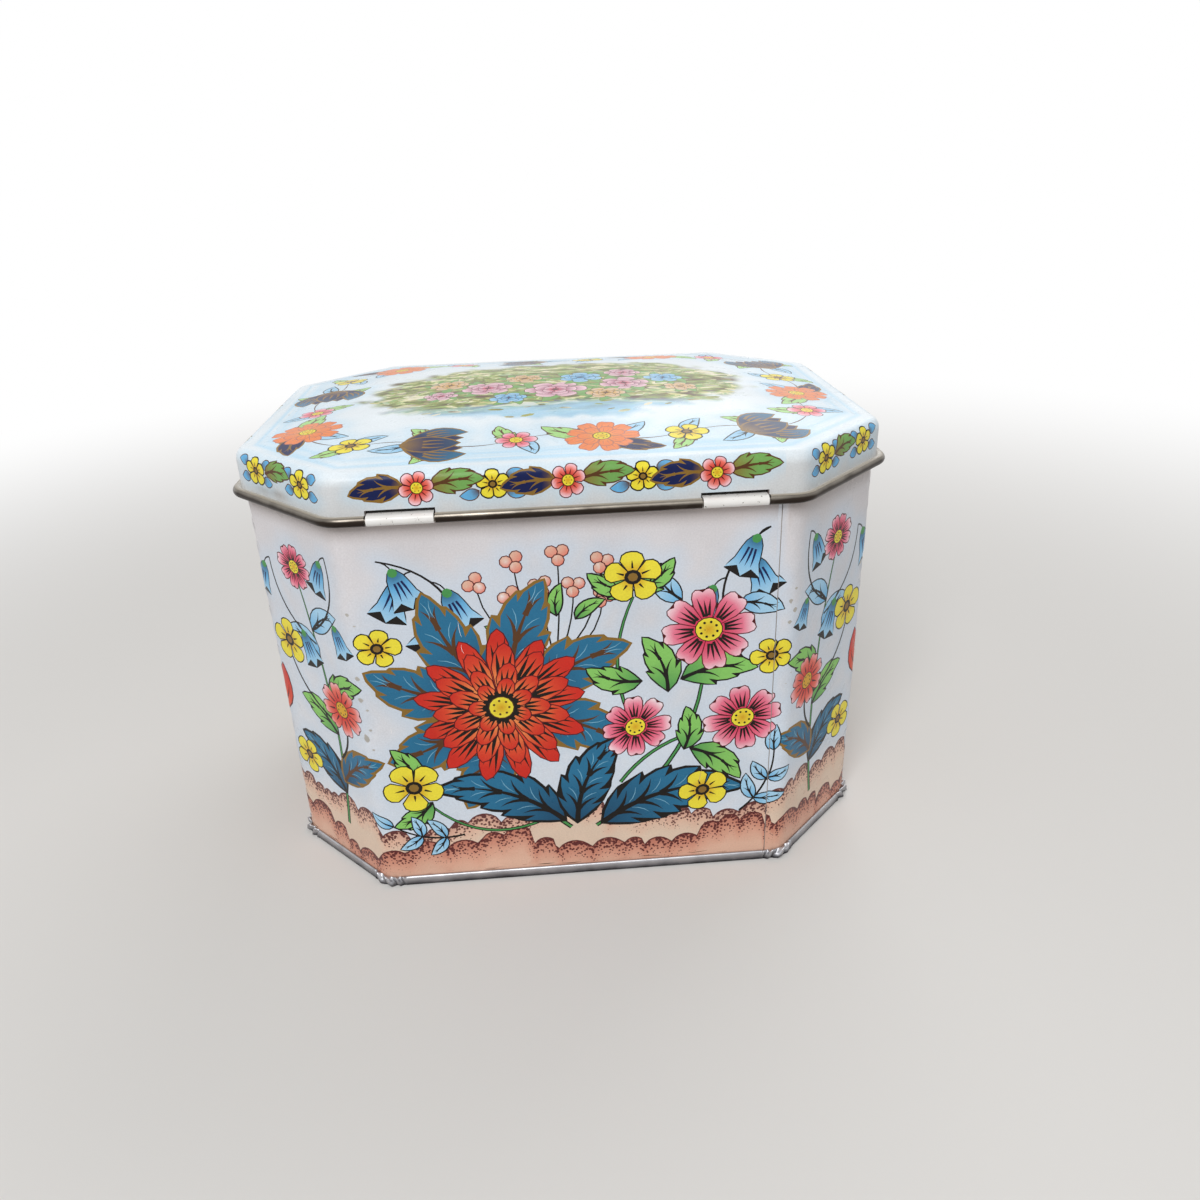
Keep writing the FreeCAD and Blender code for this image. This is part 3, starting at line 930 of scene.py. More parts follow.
def makePiece(name, parts, materials, mapSide):
    points = np.concatenate([part["points"] for part in parts])
    starts = np.cumsum([0] + [len(part["points"]) for part in parts])
    faces, loopPoints, slots, colours = [], [], [], []
    for part, start in zip(parts, starts):
        faces += (part["faces"] + start).tolist()
        loopPoints.append((part["faces"] + start).ravel())
        slots += np.broadcast_to(part["material"], len(part["faces"])).tolist()
        shade = part["colours"] if part["colours"] is not None else np.append(inkLinear["wall"], (0, 0))
        colours.append(np.broadcast_to(shade, (*part["faces"].shape, 5)).reshape(-1, 5))
    loopPoints = np.concatenate(loopPoints)
    loopNormals = np.concatenate([part["normals"] for part in parts])[loopPoints]
    loopMap = [part.get("cornerMap", part["uv"][part["faces"].ravel()]) for part in parts]
    loopMap = np.concatenate(loopMap) / mapSide
    kept, renamed = np.unique(weld(points, faces), return_inverse=True)
    faces = [[renamed[v] for v in face] for face in faces]
    whole = np.array([len(set(face)) == len(face) for face in faces])
    loopWhole = np.repeat(whole, [len(face) for face in faces])
    faces = [face for face, good in zip(faces, whole) if good]
    slots = np.array(slots)[whole]
    loopNormals, loopMap = loopNormals[loopWhole], loopMap[loopWhole]
    mesh = bpy.data.meshes.new(name)
    mesh.from_pydata((points[kept] * metresPerMm).tolist(), [], faces)
    mesh.polygons.foreach_set("material_index", slots)
    colours = np.concatenate(colours)[loopWhole]
    for channel, share in ((3, "dots"), (4, "painted")):
        if colours[:, channel].any():
            layer = mesh.attributes.new(share, "FLOAT", "CORNER")
            layer.data.foreach_set("value", colours[:, channel].copy())
    colours[:, 3] = 1
    ink = mesh.color_attributes.new("ink", "FLOAT_COLOR", "CORNER")
    ink.data.foreach_set("color", colours[:, :4].ravel())
    bakeMap = mesh.uv_layers.new(name="OFBake")
    bakeMap.uv.foreach_set("vector", np.stack([loopMap.real, loopMap.imag], -1).ravel())
    for material in materials:
        mesh.materials.append(material)
    mesh.shade_smooth()
    mesh.normals_split_custom_set(loopNormals.tolist())
    piece = bpy.data.objects.new(name, mesh)
    bpy.context.scene.collection.objects.link(piece)
    counts = np.zeros(len(mesh.edges), int)
    edgeOf = np.zeros(len(mesh.loops), int)
    mesh.loops.foreach_get("edge_index", edgeOf)
    np.add.at(counts, edgeOf, 1)
    print(name, len(mesh.polygons), "faces,", int((counts != 2).sum()), "open edges")
    return piece


# Materials


def feed(tree, node, inputs):
    for name, value in inputs.items():
        if isinstance(value, bpy.types.NodeSocket):
            tree.links.new(value, node.inputs[name])
        else:
            node.inputs[name].default_value = value


def addNode(tree, kind, inputs=None, output=0, **settings):
    node = tree.nodes.new("ShaderNode" + kind)
    for name, value in settings.items():
        setattr(node, name, value)
    feed(tree, node, inputs or {})
    return node.outputs[output]


def perMm(size):
    return 1 / (size * metresPerMm)


def newMaterial(name, inputs):
    material = bpy.data.materials.new(name)
    material.use_nodes = True
    tree = material.node_tree
    surface = tree.nodes["Principled BSDF"]
    feed(tree, surface, inputs)
    return material, tree, surface, addNode(tree, "TexCoord", output="Object")


def rgba(colour):
    return (*linear(colour), 1.0)


stipple = {"cell": 0.9, "most": 0.72, "dot": {"From Min": -0.03, "From Max": 0.05, "To Max": 0.92},
           "line": {"From Min": 0.88, "From Max": 0.93, "To Max": 0.85}}


def stippled(tree, place, colour):
    # Dots of 0.4 mm, as thick as the drawing's share of dots asks, and a line where that share is full.
    share = addNode(tree, "Attribute", output="Fac", attribute_name="dots")
    cell = addNode(tree, "TexVoronoi", {"Vector": place, "Scale": perMm(stipple["cell"])})
    limit = addNode(tree, "Math", {0: share, 1: stipple["most"]}, operation="MULTIPLY")
    within = addNode(tree, "Math", {0: limit, 1: cell}, operation="SUBTRACT")
    dot = addNode(tree, "MapRange", {"Value": within, **stipple["dot"]})
    line = addNode(tree, "MapRange", {"Value": share, **stipple["line"]})
    dark = addNode(tree, "Math", {0: dot, 1: line}, operation="MAXIMUM")
    return addNode(tree, "Mix", {0: dark, 6: colour, 7: rgba(inks["stipple"])}, 2, data_type="RGBA")


foliage = {
    "streak": (10.0, 4.5), "skyFrom": 36.0, "skyTo": 48.0, "skyRagged": 30.0, "skyShare": 0.9,
    "tones": ((0.36, "brown"), (0.43, "deepMoss"), (0.47, "olive"), (0.51, "moss"), (0.54, "fern"),
              (0.58, "straw"), (0.64, "cream")),
}


def foliagePainted(tree, place, colour):
    # Brushed foliage with a strip of sky, where the drawing's share of the picture asks.
    share = addNode(tree, "Attribute", output="Fac", attribute_name="painted")
    wide, deep = (perMm(size) for size in foliage["streak"])
    brushed = addNode(tree, "Mapping", {"Vector": place, "Scale": (wide, deep, deep)})
    stroke = {"Vector": brushed, "Scale": 1.0, "Detail": 4.0, "Roughness": 0.6, "Distortion": 0.8}
    leafage = addNode(tree, "ValToRGB", {"Fac": addNode(tree, "TexNoise", stroke)})
    steps = leafage.node.color_ramp.elements
    for k, (spot, tone) in enumerate(foliage["tones"]):
        step = steps[k] if k < 1 else steps.new(spot)
        step.position, step.color = spot, rgba(inks[tone])
    steps.remove(steps[len(steps) - 1])
    height = addNode(tree, "SeparateXYZ", {"Vector": place}, "Y")
    clouds = addNode(tree, "TexNoise", {"Vector": brushed, "Scale": 0.4, "Detail": 4.0})
    lift = foliage["skyRagged"] * metresPerMm
    ragged = addNode(tree, "Math", {0: clouds, 1: lift, 2: height}, operation="MULTIPLY_ADD")
    start, end = (foliage[name] * metresPerMm for name in ("skyFrom", "skyTo"))
    above = {"Value": ragged, "From Min": start, "From Max": end, "To Max": foliage["skyShare"]}
    mixed = {0: addNode(tree, "MapRange", above), 6: leafage, 7: rgba(inks["paleSky"])}
    picture = addNode(tree, "Mix", mixed, 2, data_type="RGBA")
    return addNode(tree, "Mix", {0: share, 6: colour, 7: picture}, 2, data_type="RGBA")


varnish = {  # noises by size in mm, with their detail, the noise's range and what it gives
    "noises": {"grain": (0.5, 2.0, 0.25, 0.75, 0.93, 1.05), "mottle": (22, 3.0, 0.3, 0.7, 0.94, 1.03),
               "handled": (9, 4.0, 0.3, 0.7, 0.24, 0.38)},
    "speckCell": 9, "speckSize": {"From Min": 0.6, "From Max": 1.0, "To Max": 0.045},
    "speckInk": "#4A3A30", "speckShare": 0.75, "peel": 1.6, "peelDepth": 0.1, "peelStrength": 0.06,
}


def lithographedTinplate(name, seed, addition, gloss):
    # Offset-printed tinplate under stoved varnish: flat inks, fine grain, a soft gloss, slight orange peel.
    material, tree, surface, place = newMaterial(
        name, {"IOR": 1.5, "Coat Weight": 0.04, "Coat Roughness": 0.12, "Specular IOR Level": gloss})
    ink = addition(tree, place, addNode(tree, "VertexColor", layer_name="ink"))
    shifted = addNode(tree, "Mapping", {"Vector": place, "Location": (seed, 2 * seed, 0)})
    # The ink's grain is 0.12 mm on the real sheet, and drawn at 0.5 mm so that it shows.
    shades = {}
    for noise, (size, detail, start, end, least, most) in varnish["noises"].items():
        cloud = addNode(tree, "TexNoise", {"Vector": shifted, "Scale": perMm(size), "Detail": detail})
        limits = {"From Min": start, "From Max": end, "To Min": least, "To Max": most}
        shades[noise] = addNode(tree, "MapRange", {"Value": cloud, **limits})
    both = addNode(tree, "Math", {0: shades["grain"], 1: shades["mottle"]}, operation="MULTIPLY")
    grained = addNode(tree, "VectorMath", {0: ink, "Scale": both}, operation="SCALE")
    # Flyspecks of up to 0.4 mm, in some of the cells
    cell = addNode(tree, "TexVoronoi", {"Vector": shifted, "Scale": perMm(varnish["speckCell"])})
    chosen = addNode(tree, "SeparateColor", {"Color": cell.node.outputs["Color"]})
    size = addNode(tree, "MapRange", {"Value": chosen, **varnish["speckSize"]})
    speck = addNode(tree, "Math", {0: cell, 1: size}, operation="LESS_THAN")
    shade = addNode(tree, "Math", {0: speck, 1: varnish["speckShare"]}, operation="MULTIPLY")
    spotted = addNode(tree, "Mix", {0: shade, 6: grained, 7: rgba(varnish["speckInk"])}, 2, data_type="RGBA")
    peel = addNode(tree, "TexNoise", {"Vector": shifted, "Scale": perMm(varnish["peel"]), "Detail": 1.0})
    bump = {"Height": peel, "Strength": varnish["peelStrength"],
            "Distance": varnish["peelDepth"] * metresPerMm}
    feed(tree, surface, {"Base Color": spotted, "Roughness": shades["handled"],
                         "Normal": addNode(tree, "Bump", bump)})
    return material


tinCoat = {
    "lineLength": 14, "lineWidth": 0.6, "lineDepth": 0.05, "lineStrength": 0.12,
    "tarnish": {"From Min": 0.36, "From Max": 0.68},
    "straightDownEase": {"From Min": -0.85, "From Max": -0.5, "To Min": 0.3},
    "underClouds": 0.5, "footClouds": 0.3, "polish": {"From Min": 0.1, "From Max": 0.42},
}


def rolledTinplate(name, bright, dull, roughness, cloudSize, under=None, footShade=None):
    # Cold-rolled steel with a flow-melted tin coat: grey, fine rolling lines, dulled in clouds, with painted
    # shade below.
    material, tree, surface, place = newMaterial(name, {"Metallic": 1.0})
    # Rolling lines of 0.05 mm on the real sheet, drawn at 0.6 mm so that they show
    along, across = perMm(tinCoat["lineLength"]), perMm(tinCoat["lineWidth"])
    lines = addNode(tree, "Mapping", {"Vector": place, "Scale": (along, along, across)})
    rolled = addNode(tree, "TexNoise", {"Vector": lines, "Scale": 1.0, "Detail": 3.0})
    clouds = {"Vector": place, "Scale": perMm(cloudSize), "Detail": 4.0, "Roughness": 0.5}
    cloud = addNode(tree, "TexNoise", clouds)
    tarnish = addNode(tree, "MapRange", {"Value": cloud, **tinCoat["tarnish"]})
    paintedShades = []
    if under:
        # under: shade and dark reflection painted on faces that look down: how far a face looks up where it
        # starts and where it is full, and how dark it gets
        start, end, most = under
        facing = addNode(tree, "SeparateXYZ", {"Vector": addNode(tree, "TexCoord", output="Normal")}, "Z")
        shadeRange = {"From Min": start, "From Max": end, "To Max": most}
        dirt = addNode(tree, "MapRange", {"Value": facing, **shadeRange})
        # Faces that look straight down get less of that painted shade
        straightDownEase = addNode(tree, "MapRange", {"Value": facing, **tinCoat["straightDownEase"]})
        dirt = addNode(tree, "Math", {0: dirt, 1: straightDownEase}, operation="MULTIPLY")
        paintedShades.append((tinCoat["underClouds"], dirt))
    if footShade:
        # A dark reflection painted low down on the part: the height where it starts and where it is full, and
        # how dark it gets
        start, end, most = footShade[0] * metresPerMm, footShade[1] * metresPerMm, footShade[2]
        height = addNode(tree, "SeparateXYZ", {"Vector": place}, "Z")
        dirt = {"Value": height, "From Min": start, "From Max": end, "To Max": most}
        paintedShades.append((tinCoat["footClouds"], addNode(tree, "MapRange", dirt)))
    # Each painted shade darkens the tin further towards the dull colour
    for clouded, dirt in paintedShades:
        both = {0: tarnish, 1: clouded, 2: dirt}
        tarnish = addNode(tree, "Math", both, operation="MULTIPLY_ADD", use_clamp=True)
    colour = addNode(tree, "Mix", {0: tarnish, 6: rgba(bright), 7: rgba(dull)}, 2, data_type="RGBA")
    spread = addNode(tree, "Math", {0: rolled, 1: cloud}, operation="MULTIPLY")
    low, high = roughness
    gloss = {"Value": spread, **tinCoat["polish"], "To Min": low, "To Max": high}
    bump = {"Height": rolled, "Strength": tinCoat["lineStrength"],
            "Distance": tinCoat["lineDepth"] * metresPerMm}
    feed(tree, surface, {"Base Color": colour, "Roughness": addNode(tree, "MapRange", gloss),
                         "Normal": addNode(tree, "Bump", bump)})
    return material


enamel = {
    "white": "#F4F3F1", "soiled": "#E2DFDA", "chipped": "#6B625A", "soilSize": 5, "chipSize": 1.1,
    "chips": {"From Min": 0.645, "From Max": 0.68}, "chipStrength": 0.4, "chipDepth": 0.06,
    "gloss": {"From Min": 0.3, "From Max": 0.7, "To Min": 0.28, "To Max": 0.42},
}


def stovedEnamel(name):
    # White stoving enamel on steel strip: smooth and semi-gloss, chipped to grey metal in a few small spots.
    material, tree, surface, place = newMaterial(name, {"IOR": 1.5})
    chips = {"Vector": place, "Scale": perMm(enamel["chipSize"]), "Detail": 4.0, "Roughness": 0.65}
    bare = addNode(tree, "MapRange", {"Value": addNode(tree, "TexNoise", chips), **enamel["chips"]})
    soil = addNode(tree, "TexNoise", {"Vector": place, "Scale": perMm(enamel["soilSize"]), "Detail": 4.0})
    white, soiled, metal = (rgba(enamel[tone]) for tone in ("white", "soiled", "chipped"))
    colour = addNode(tree, "Mix", {0: soil, 6: white, 7: soiled}, 2, data_type="RGBA")
    colour = addNode(tree, "Mix", {0: bare, 6: colour, 7: metal}, 2, data_type="RGBA")
    gloss = addNode(tree, "MapRange", {"Value": soil, **enamel["gloss"]})
    bump = {"Height": bare, "Strength": enamel["chipStrength"], "Distance": enamel["chipDepth"] * metresPerMm}
    feed(tree, surface, {"Base Color": colour, "Roughness": gloss,
                         "Normal": addNode(tree, "Bump", bump, invert=True)})
    return material


wallPrint = lithographedTinplate("lithographed_tinplate", 0.0, stippled, 0.2)
lidPrint = lithographedTinplate("lithographed_lid_tinplate", 0.37, foliagePainted, 0.12)
insideTin = rolledTinplate("satin_tinplate", "#C9C6C0", "#B7B3AC", (0.28, 0.44), 40)
# The curl gets shade painted on its faces that look down
rollTin = rolledTinplate("curled_tinplate", "#857F76", "#332C27", (0.26, 0.42), 9, (0.62, 0.1, 0.95))
# The seam gets a dark reflection painted low down, towards the floor
seamTin = rolledTinplate("seamed_tinplate", "#B5B5B9", "#38363A", (0.36, 0.48), 7, None, (2.3, 0.2, 0.95))
whiteTin = stovedEnamel("stoved_enamel")
wireSteel = rolledTinplate("drawn_steel", "#7A736A", "#5A544D", (0.3, 0.45), 5)
print("materials made")

# Wall: printed sheet wrapped round the box, cut at the lap, with its top edge folded inwards
wall = {
    "foot": 1.0, "top": 136.55, "grid": 4.0, "hemDepth": 4.0, "hemPlay": 0.03,
    "groove": 0.25, "grooveDepth": 0.18, "lapWidth": 4.0, "lapFoot": 2.8, "dirt": "#9F9791",
    "dent": 0.1, "dentWaves": ((9, 0.6, 0.045, 1.0), (14, 2.1, -0.06, 0.7), (5, 0, 0.11, 0.5)),
    "dentFoot": (4, 29), "dentTop": (118, 93), "dentFromLap": 8,
    "cool": "#DFE1E6", "warm": "#DAD6D8", "warmRise": (40, 120), "haloShare": 0.6, "haloReach": 3.5,
    # A brown shadow painted on the wall under the lid's curl: its colour, its share, and the heights where it
    # rises and fades
    "paintedShadow": "#A58E7E", "paintedShadowShare": 0.6, "paintedShadowStart": (118, 124), "paintedShadowEnd": (131, 127),
}
# Where each part lies on the wall's map, with its scale: the print in two rows, plain parts in the rest
wallMap = {
    "side": 306.0, "print": 3 + 0.5j, "secondRow": 138.5j, "lapSides": (292 + 281j, 0.05),
    "lapFloor": (290 + 281j, 0.05), "lapTop": (294 + 281j, 0.05), "lapFoot": (294 + 283j, 0.05),
    "lapLayer": (120 + 285j, 0.15), "hem": (3 + 278.5j, 0.45), "hemInside": (3 + 280j, 0.45),
    "hemFoot": (3 + 282.5j, 0.45), "inside": (3 + 284j, 0.15), "foot": (3 + 283.5j, 0.45),
}
hemRadius = tin["sheet"] + wall["hemPlay"] / 2
wallSkinTop = wall["top"] - hemRadius
lapEnd = wallRound - wall["groove"]


def wallDent(along, height):
    # Slow hollows of hand-worn sheet, none near the seam, the lid or the lap.
    turn = 2 * np.pi * along / wallRound
    wave = sum(share * np.sin(count * turn + phase + height * twist)
               for count, phase, twist, share in wall["dentWaves"])
    fade = ramp(height, *wall["dentFoot"]) * ramp(height, *wall["dentTop"])
    fade = fade * ramp(along, 0, wall["dentFromLap"]) * ramp(wallRound - along, 0, wall["dentFromLap"])
    return wall["dent"] * wave * fade


def wallPlace(flat):
    along, height = flat.real, flat.imag
    dent = wallDent(along, height)
    points = sheetPoint(along, dent, height)
    _, outward = outlineAt(along)
    tilt = (wallDent(along + 0.1, height) - dent) / 0.1
    rise = (wallDent(along, height + 0.1) - dent) / 0.1
    facing = outward * (1 - 1j * tilt)
    return points, unit(np.stack([facing.real, facing.imag, -rise], -1))


def wallGround(spots, halo):
    # Cool white below, warmer above, with a brown shadow painted on under the curl of the lid.
    height = spots.imag
    plain = blend(linear(wall["cool"]), linear(wall["warm"]), ramp(height, *wall["warmRise"])[:, None])
    # Painted shadow under the lid's curl
    paintedShadow = wall["paintedShadowShare"] * ramp(height, *wall["paintedShadowStart"]) ** 1.5 * ramp(height, *wall["paintedShadowEnd"])
    plain = blend(plain, linear(wall["paintedShadow"]), paintedShadow[:, None])
    return withShares(blend(plain, inkLinear["halo"], (wall["haloShare"] * halo)[:, None]))


def bareRings(insets):
    # Lines for the mesh to follow on bare sheet, at these distances in from the outline.
    return [{"points": octagon(inset), "stops": None, "middle": 0j, "halo": False} for inset in insets]


def flatPatch(border, gridStep, insets=(), more=()):
    # Bare sheet: the border and a loose grid, with no print.
    def plain(flat, halo):
        return np.ones((len(flat), 5))

    spots, triangles, _ = printedPatch(bareRings(insets), border, gridStep, plain, 1.0, more)
    return spots, triangles


def makeWall():
    places = stations(4.0, 8, 0.0, lapEnd)
    border = np.concatenate([places + 1j * wall["foot"], (places + 1j * wallSkinTop)[::-1]])
    spots, triangles, colours = printedPatch(drawWall(), border, wall["grid"], wallGround, wall["haloReach"])
    points, normals = wallPlace(spots)
    half = wallRound / 2
    later = spots[triangles].real.mean(1) > half
    corner = spots[triangles] - later[:, None] * (half - wallMap["secondRow"])
    patch = asPart(points, normals, triangles, 0, spots, (0, 1), colours)
    patch["cornerMap"] = corner.ravel() + wallMap["print"]
    parts = [patch]

    # Both ends of the sheet drop to the floor of the groove at the lap.
    ends = []
    for end in (0.0, lapEnd):
        edge = np.flatnonzero(np.abs(spots.real - end) < 1e-3)
        edge = edge[np.argsort(spots[edge].imag)]
        rim = points[edge]
        floor = rim - np.array([0, wall["grooveDepth"], 0])
        ends.append((floor, spots[edge].imag, rim))
        runs = (floor, rim) if end else (rim, floor)
        parts.append(bridgePart(*runs, 0, wallMap["lapSides"]))
    (nearFloor, nearKeys, nearRim), (farFloor, farKeys, farRim) = ends
    parts.append(zipPart(farFloor, nearFloor, farKeys, nearKeys, (0, 1, 0), 0, wallMap["lapFloor"]))
    for part in parts[1:]:
        part["colours"] = np.append(linear(wall["dirt"]), (0, 0))
    rims, floors = (np.stack(pair, 1) for pair in ((farRim[[0, -1]], nearRim[[0, -1]]),
                                                   (farFloor[[0, -1]], nearFloor[[0, -1]])))
    parts.append(bridgePart(rims[1], floors[1], 1, wallMap["lapTop"]))
    parts.append(bridgePart(floors[0], rims[0], 1, wallMap["lapFoot"]))

    # Folded top edge, inner skin, foot and the second layer of the lap
    turn = np.radians(np.linspace(0, 180, 6))
    hem = np.stack([hemRadius * (np.cos(turn) - 1), wallSkinTop + hemRadius * np.sin(turn)], -1)
    hemFoot, inner, skin, foot = wall["top"] - wall["hemDepth"], -2 * hemRadius, -tin["sheet"], wall["foot"]
    strips = {
        "hem": hem, "hemInside": [(inner, wallSkinTop), (inner, hemFoot + 0.3)],
        "hemFoot": [(inner, hemFoot + 0.3), (inner + 0.1, hemFoot), (skin, hemFoot)],
        "inside": [(skin, hemFoot), (skin, foot)], "foot": [(skin, foot), (0, foot)],
    }
    for name, profile in strips.items():
        parts.append(sweepPart(np.append(places, wallRound), profile, 1, True, wallMap[name]))
    lapPlaces = wallRound - wall["lapWidth"] + np.array([-0.05, 0, 1, 2, 3, 3.95, 4])
    sunk, lapTop, lapFoot = skin + 0.03, hemFoot - 0.1, wall["lapFoot"]
    layer = np.array([[(sunk, hemFoot), (2 * skin, lapTop), (2 * skin, lapFoot), (sunk, lapFoot - 0.1),
                       (sunk, lapFoot), (sunk, lapTop), (sunk, hemFoot)]] * len(lapPlaces))
    layer[[0, -1], :, 0] = sunk
    parts.append(sweepPart(lapPlaces, layer, 1, False, wallMap["lapLayer"]))
    return makePiece("body_wall_sheet", parts, [wallPrint, insideTin], wallMap["side"])


bodyWall = makeWall()
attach(bodyWall, "box")
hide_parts("body_wall")
print("wall made")

# Base: panel recessed in a rim that is seamed round the wall's foot, and wrinkled at the bends
base = {"panelTop": 2.75, "panelFoot": 2.4, "panelGrid": 9.0, "fine": 0.22, "crimp": 1.4, "crimpRise": 0.85,
        "crimpLift": 1.1, "crimpLiftFrom": 2.2, "crimpCount": 4, "crimpPast": 3.6, "crimpLean": 0.6,
        "crimpMiddle": 1.6, "crimpSway": 0.9}
baseMap = {"side": 301.0, "rim": (1 + 230j, 0.5), "panelTop": (55 + 190j, 0.5), "panelFoot": (100 + 75j, 1.0)}
rimProfile = [  # offset, height, share of the wrinkle
    (-0.73, 2.4, 0), (-0.73, 0.35, 0), (-0.62, 0.1, 0), (-0.4, 0, 0), (0.7, 0, 0), (0.95, 0.08, 0.4),
    (1.08, 0.4, 0.8), (1.14, 1.0, 1), (1.14, 1.7, 1), (1.1, 2.3, 1), (0.98, 2.8, 0.9), (0.78, 3.1, 0.8),
    (0.5, 3.2, 0.6), (0.25, 3.15, 0.3), (0.08, 3.0, 0), (0.02, 2.7, 0), (0.02, 0.4, 0), (-0.38, 0.4, 0),
    (-0.38, 2.75, 0),
]


def rimWrinkle(along, height):
    wrinkle = np.zeros(np.broadcast_shapes(along.shape, height.shape))
    for k, start in enumerate(runStart[runBends == 1]):
        length = bendLength + 2 * base["crimpPast"]
        share = np.mod(along - start + base["crimpPast"], wallRound) / length
        inside = (share > 0) & (share < 1)
        lean = base["crimpLean"] * (height - base["crimpMiddle"]) / length * (1 if k % 2 else -1)
        sway = base["crimpSway"] * np.sin(7 * share + k)
        wave = 0.5 - 0.5 * np.cos(2 * np.pi * base["crimpCount"] * (share + lean) + sway)
        lump = base["crimp"] * wave - base["crimpRise"]
        wrinkle += np.where(inside, np.abs(np.sin(np.pi * share)) ** 0.5 * lump, 0)
    return wrinkle


def makeBase():
    fine, past = [], base["crimpPast"]
    for start in runStart[runBends == 1]:
        fine += list(np.mod(np.arange(start - past, start + bendLength + past, base["fine"]), wallRound))
    places = stations(4.0, 16, extra=fine)
    offset, height, share = np.array(rimProfile).T[:, None, :]
    wrinkle = rimWrinkle(places[:, None], height) * share
    lift = base["crimpLift"] * wrinkle * (height > base["crimpLiftFrom"])
    profile = np.stack([offset - wrinkle, height - lift], -1)
    parts = [sweepPart(places, profile, 0, True, baseMap["rim"])]
    place, outward = outlineAt(places[:-1])
    for name, reach in (("panelTop", offset[0, -1]), ("panelFoot", offset[0, 0])):
        spots, triangles = flatPatch(place + outward * reach, base["panelGrid"])
        points = np.stack([spots.real, spots.imag, np.full(len(spots), base[name])], -1)
        panel = asPart(points, np.tile((0, 0, 1.0), (len(points), 1)), triangles, 1, spots, baseMap[name])
        parts.append(panel if name == "panelTop" else flipped(panel))
    return makePiece("base_seamed", parts, [seamTin, insideTin], baseMap["side"])


basePiece = makeBase()
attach(basePiece, "box")
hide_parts("base_panel")
print("base made")

# Lid: drawn cap with a rounded shoulder and a low crown, its edge curled outwards round the hinge wire
lid = {
    "foot": 126.58, "out": 1.05, "shoulderStart": 135.2, "shoulderRadius": 3.2, "shoulderSteps": 9,
    "crownInset": 3.95, "crownHeight": 5.5, "crownFlat": 0.15, "crownBlend": 0.3, "notchHalf": 9.4,
    "notchTop": 128.2, "curlRadius": 1.45, "curlEnd": 502.6, "curlSteps": 24,
    "topGrid": 2.2, "skirtGrid": 1.7, "insideGrid": 5.0, "crownGrid": 6.0,
    "lowRows": (127.0, 127.6, 128.3), "rings": (3.95, 4.7, 5.4, 6.1, 7.6, 9.6, 11.6),
    "printRow": 18, "curlPrint": "#EDEAE4", "curlWorn": "#9D9486",  # print that wears off round the curl
    "bands": ((0.75, 5.4, 0.9), (0.5, 9.6, 1.6)), "topHalo": 0.5, "topReach": 3.5,  # share, inset, width
    "low": "#D6D8D9", "lowRise": (137.5, 134.5), "skirtHalo": 0.4, "skirtReach": 2.2,
    "stain": "#9A7F62", "stainShare": 0.12, "stainRise": (127.0, 126.6),
    "rub": "#7F766C", "rubShare": 0.6, "rubFromCorner": -4, "rubWidth": 7, "rubHeight": 128.6,
    "rubDepth": 1.1,
}
# Where each part lies on the lid's map, with its scale: the skirt's print in four rows above the top's
lidMap = {
    "side": 214.0, "skirt": 4 + 146j, "skirtRow": 14.6j, "skirtInside": (200 + 1j, 0.33j), "notch": 206 + 1j,
    "notchRow": 20j, "notchScale": 0.3, "top": (96 + 73j, 1.0), "topInside": (176 + 176j, 0.22),
    "curl": 190 + 1j, "curlRow": 6j, "curlScale": 0.33j, "curlEnd": 208 + 150j, "curlEndRow": 8j,
    "curlEndScale": 0.5,
}
lidTop = lid["shoulderStart"] + lid["shoulderRadius"]
shoulderCentre = lid["out"] - lid["shoulderRadius"]
skirtEnd = lid["shoulderStart"] + lid["shoulderRadius"] * math.pi / 2
shoulderRows = np.linspace(lid["shoulderStart"], skirtEnd, lid["shoulderSteps"])[:-1]


def edgeInset(flat):
    # Distance in from the plane of the nearest wall face.
    x, y = np.abs(flat.real), np.abs(flat.imag)
    slant = (tin["halfWidth"] + tin["halfDepth"] - tin["cornerCut"] - x - y) / math.sqrt(2)
    return np.minimum(np.minimum(tin["halfWidth"] - x, tin["halfDepth"] - y), slant)


def crownAt(x, y):
    # Height of the crown over the flat edge: four shallow vaults, blended where they meet.
    slant = (tin["halfWidth"] + tin["halfDepth"] - tin["cornerCut"]) / math.sqrt(2)
    height = None
    for distance, reach in ((y, tin["halfDepth"]), (x, tin["halfWidth"]),
                            ((x + y) / math.sqrt(2), slant), ((x - y) / math.sqrt(2), slant)):
        span = reach - lid["crownInset"]
        drop = (span ** 2 * (1 - lid["crownFlat"] ** 2) - lid["crownHeight"] ** 2) / (2 * lid["crownHeight"])
        vault = np.sqrt(span ** 2 + drop ** 2 - distance ** 2) - drop
        if height is None:
            height = vault
        else:
            close = np.maximum(1 - np.abs(height - vault) / lid["crownBlend"], 0)
            height = np.minimum(height, vault) - close ** 2 * lid["crownBlend"] / 4
    return np.clip(height, 0, lid["crownHeight"])


def topPlace(flat, depth):
    x, y, step = flat.real, flat.imag, 0.5
    points = np.stack([x, y, lidTop - depth + crownAt(x, y)], -1)
    slopeX = (crownAt(x + step, y) - crownAt(x - step, y)) / (2 * step)
    slopeY = (crownAt(x, y + step) - crownAt(x, y - step)) / (2 * step)
    return points, unit(np.stack([-slopeX, -slopeY, np.ones_like(x)], -1))


def skirtPlace(flat, depth):
    along, climb = flat.real, flat.imag
    bend = np.clip((climb - lid["shoulderStart"]) / lid["shoulderRadius"], 0, math.pi / 2)
    radius = lid["shoulderRadius"] - depth
    height = np.minimum(climb, lid["shoulderStart"]) + radius * np.sin(bend)
    points = sheetPoint(along, shoulderCentre + radius * np.cos(bend), height)
    _, outward = outlineAt(along)
    return points, np.stack([outward.real * np.cos(bend), outward.imag * np.cos(bend), np.sin(bend)], -1)


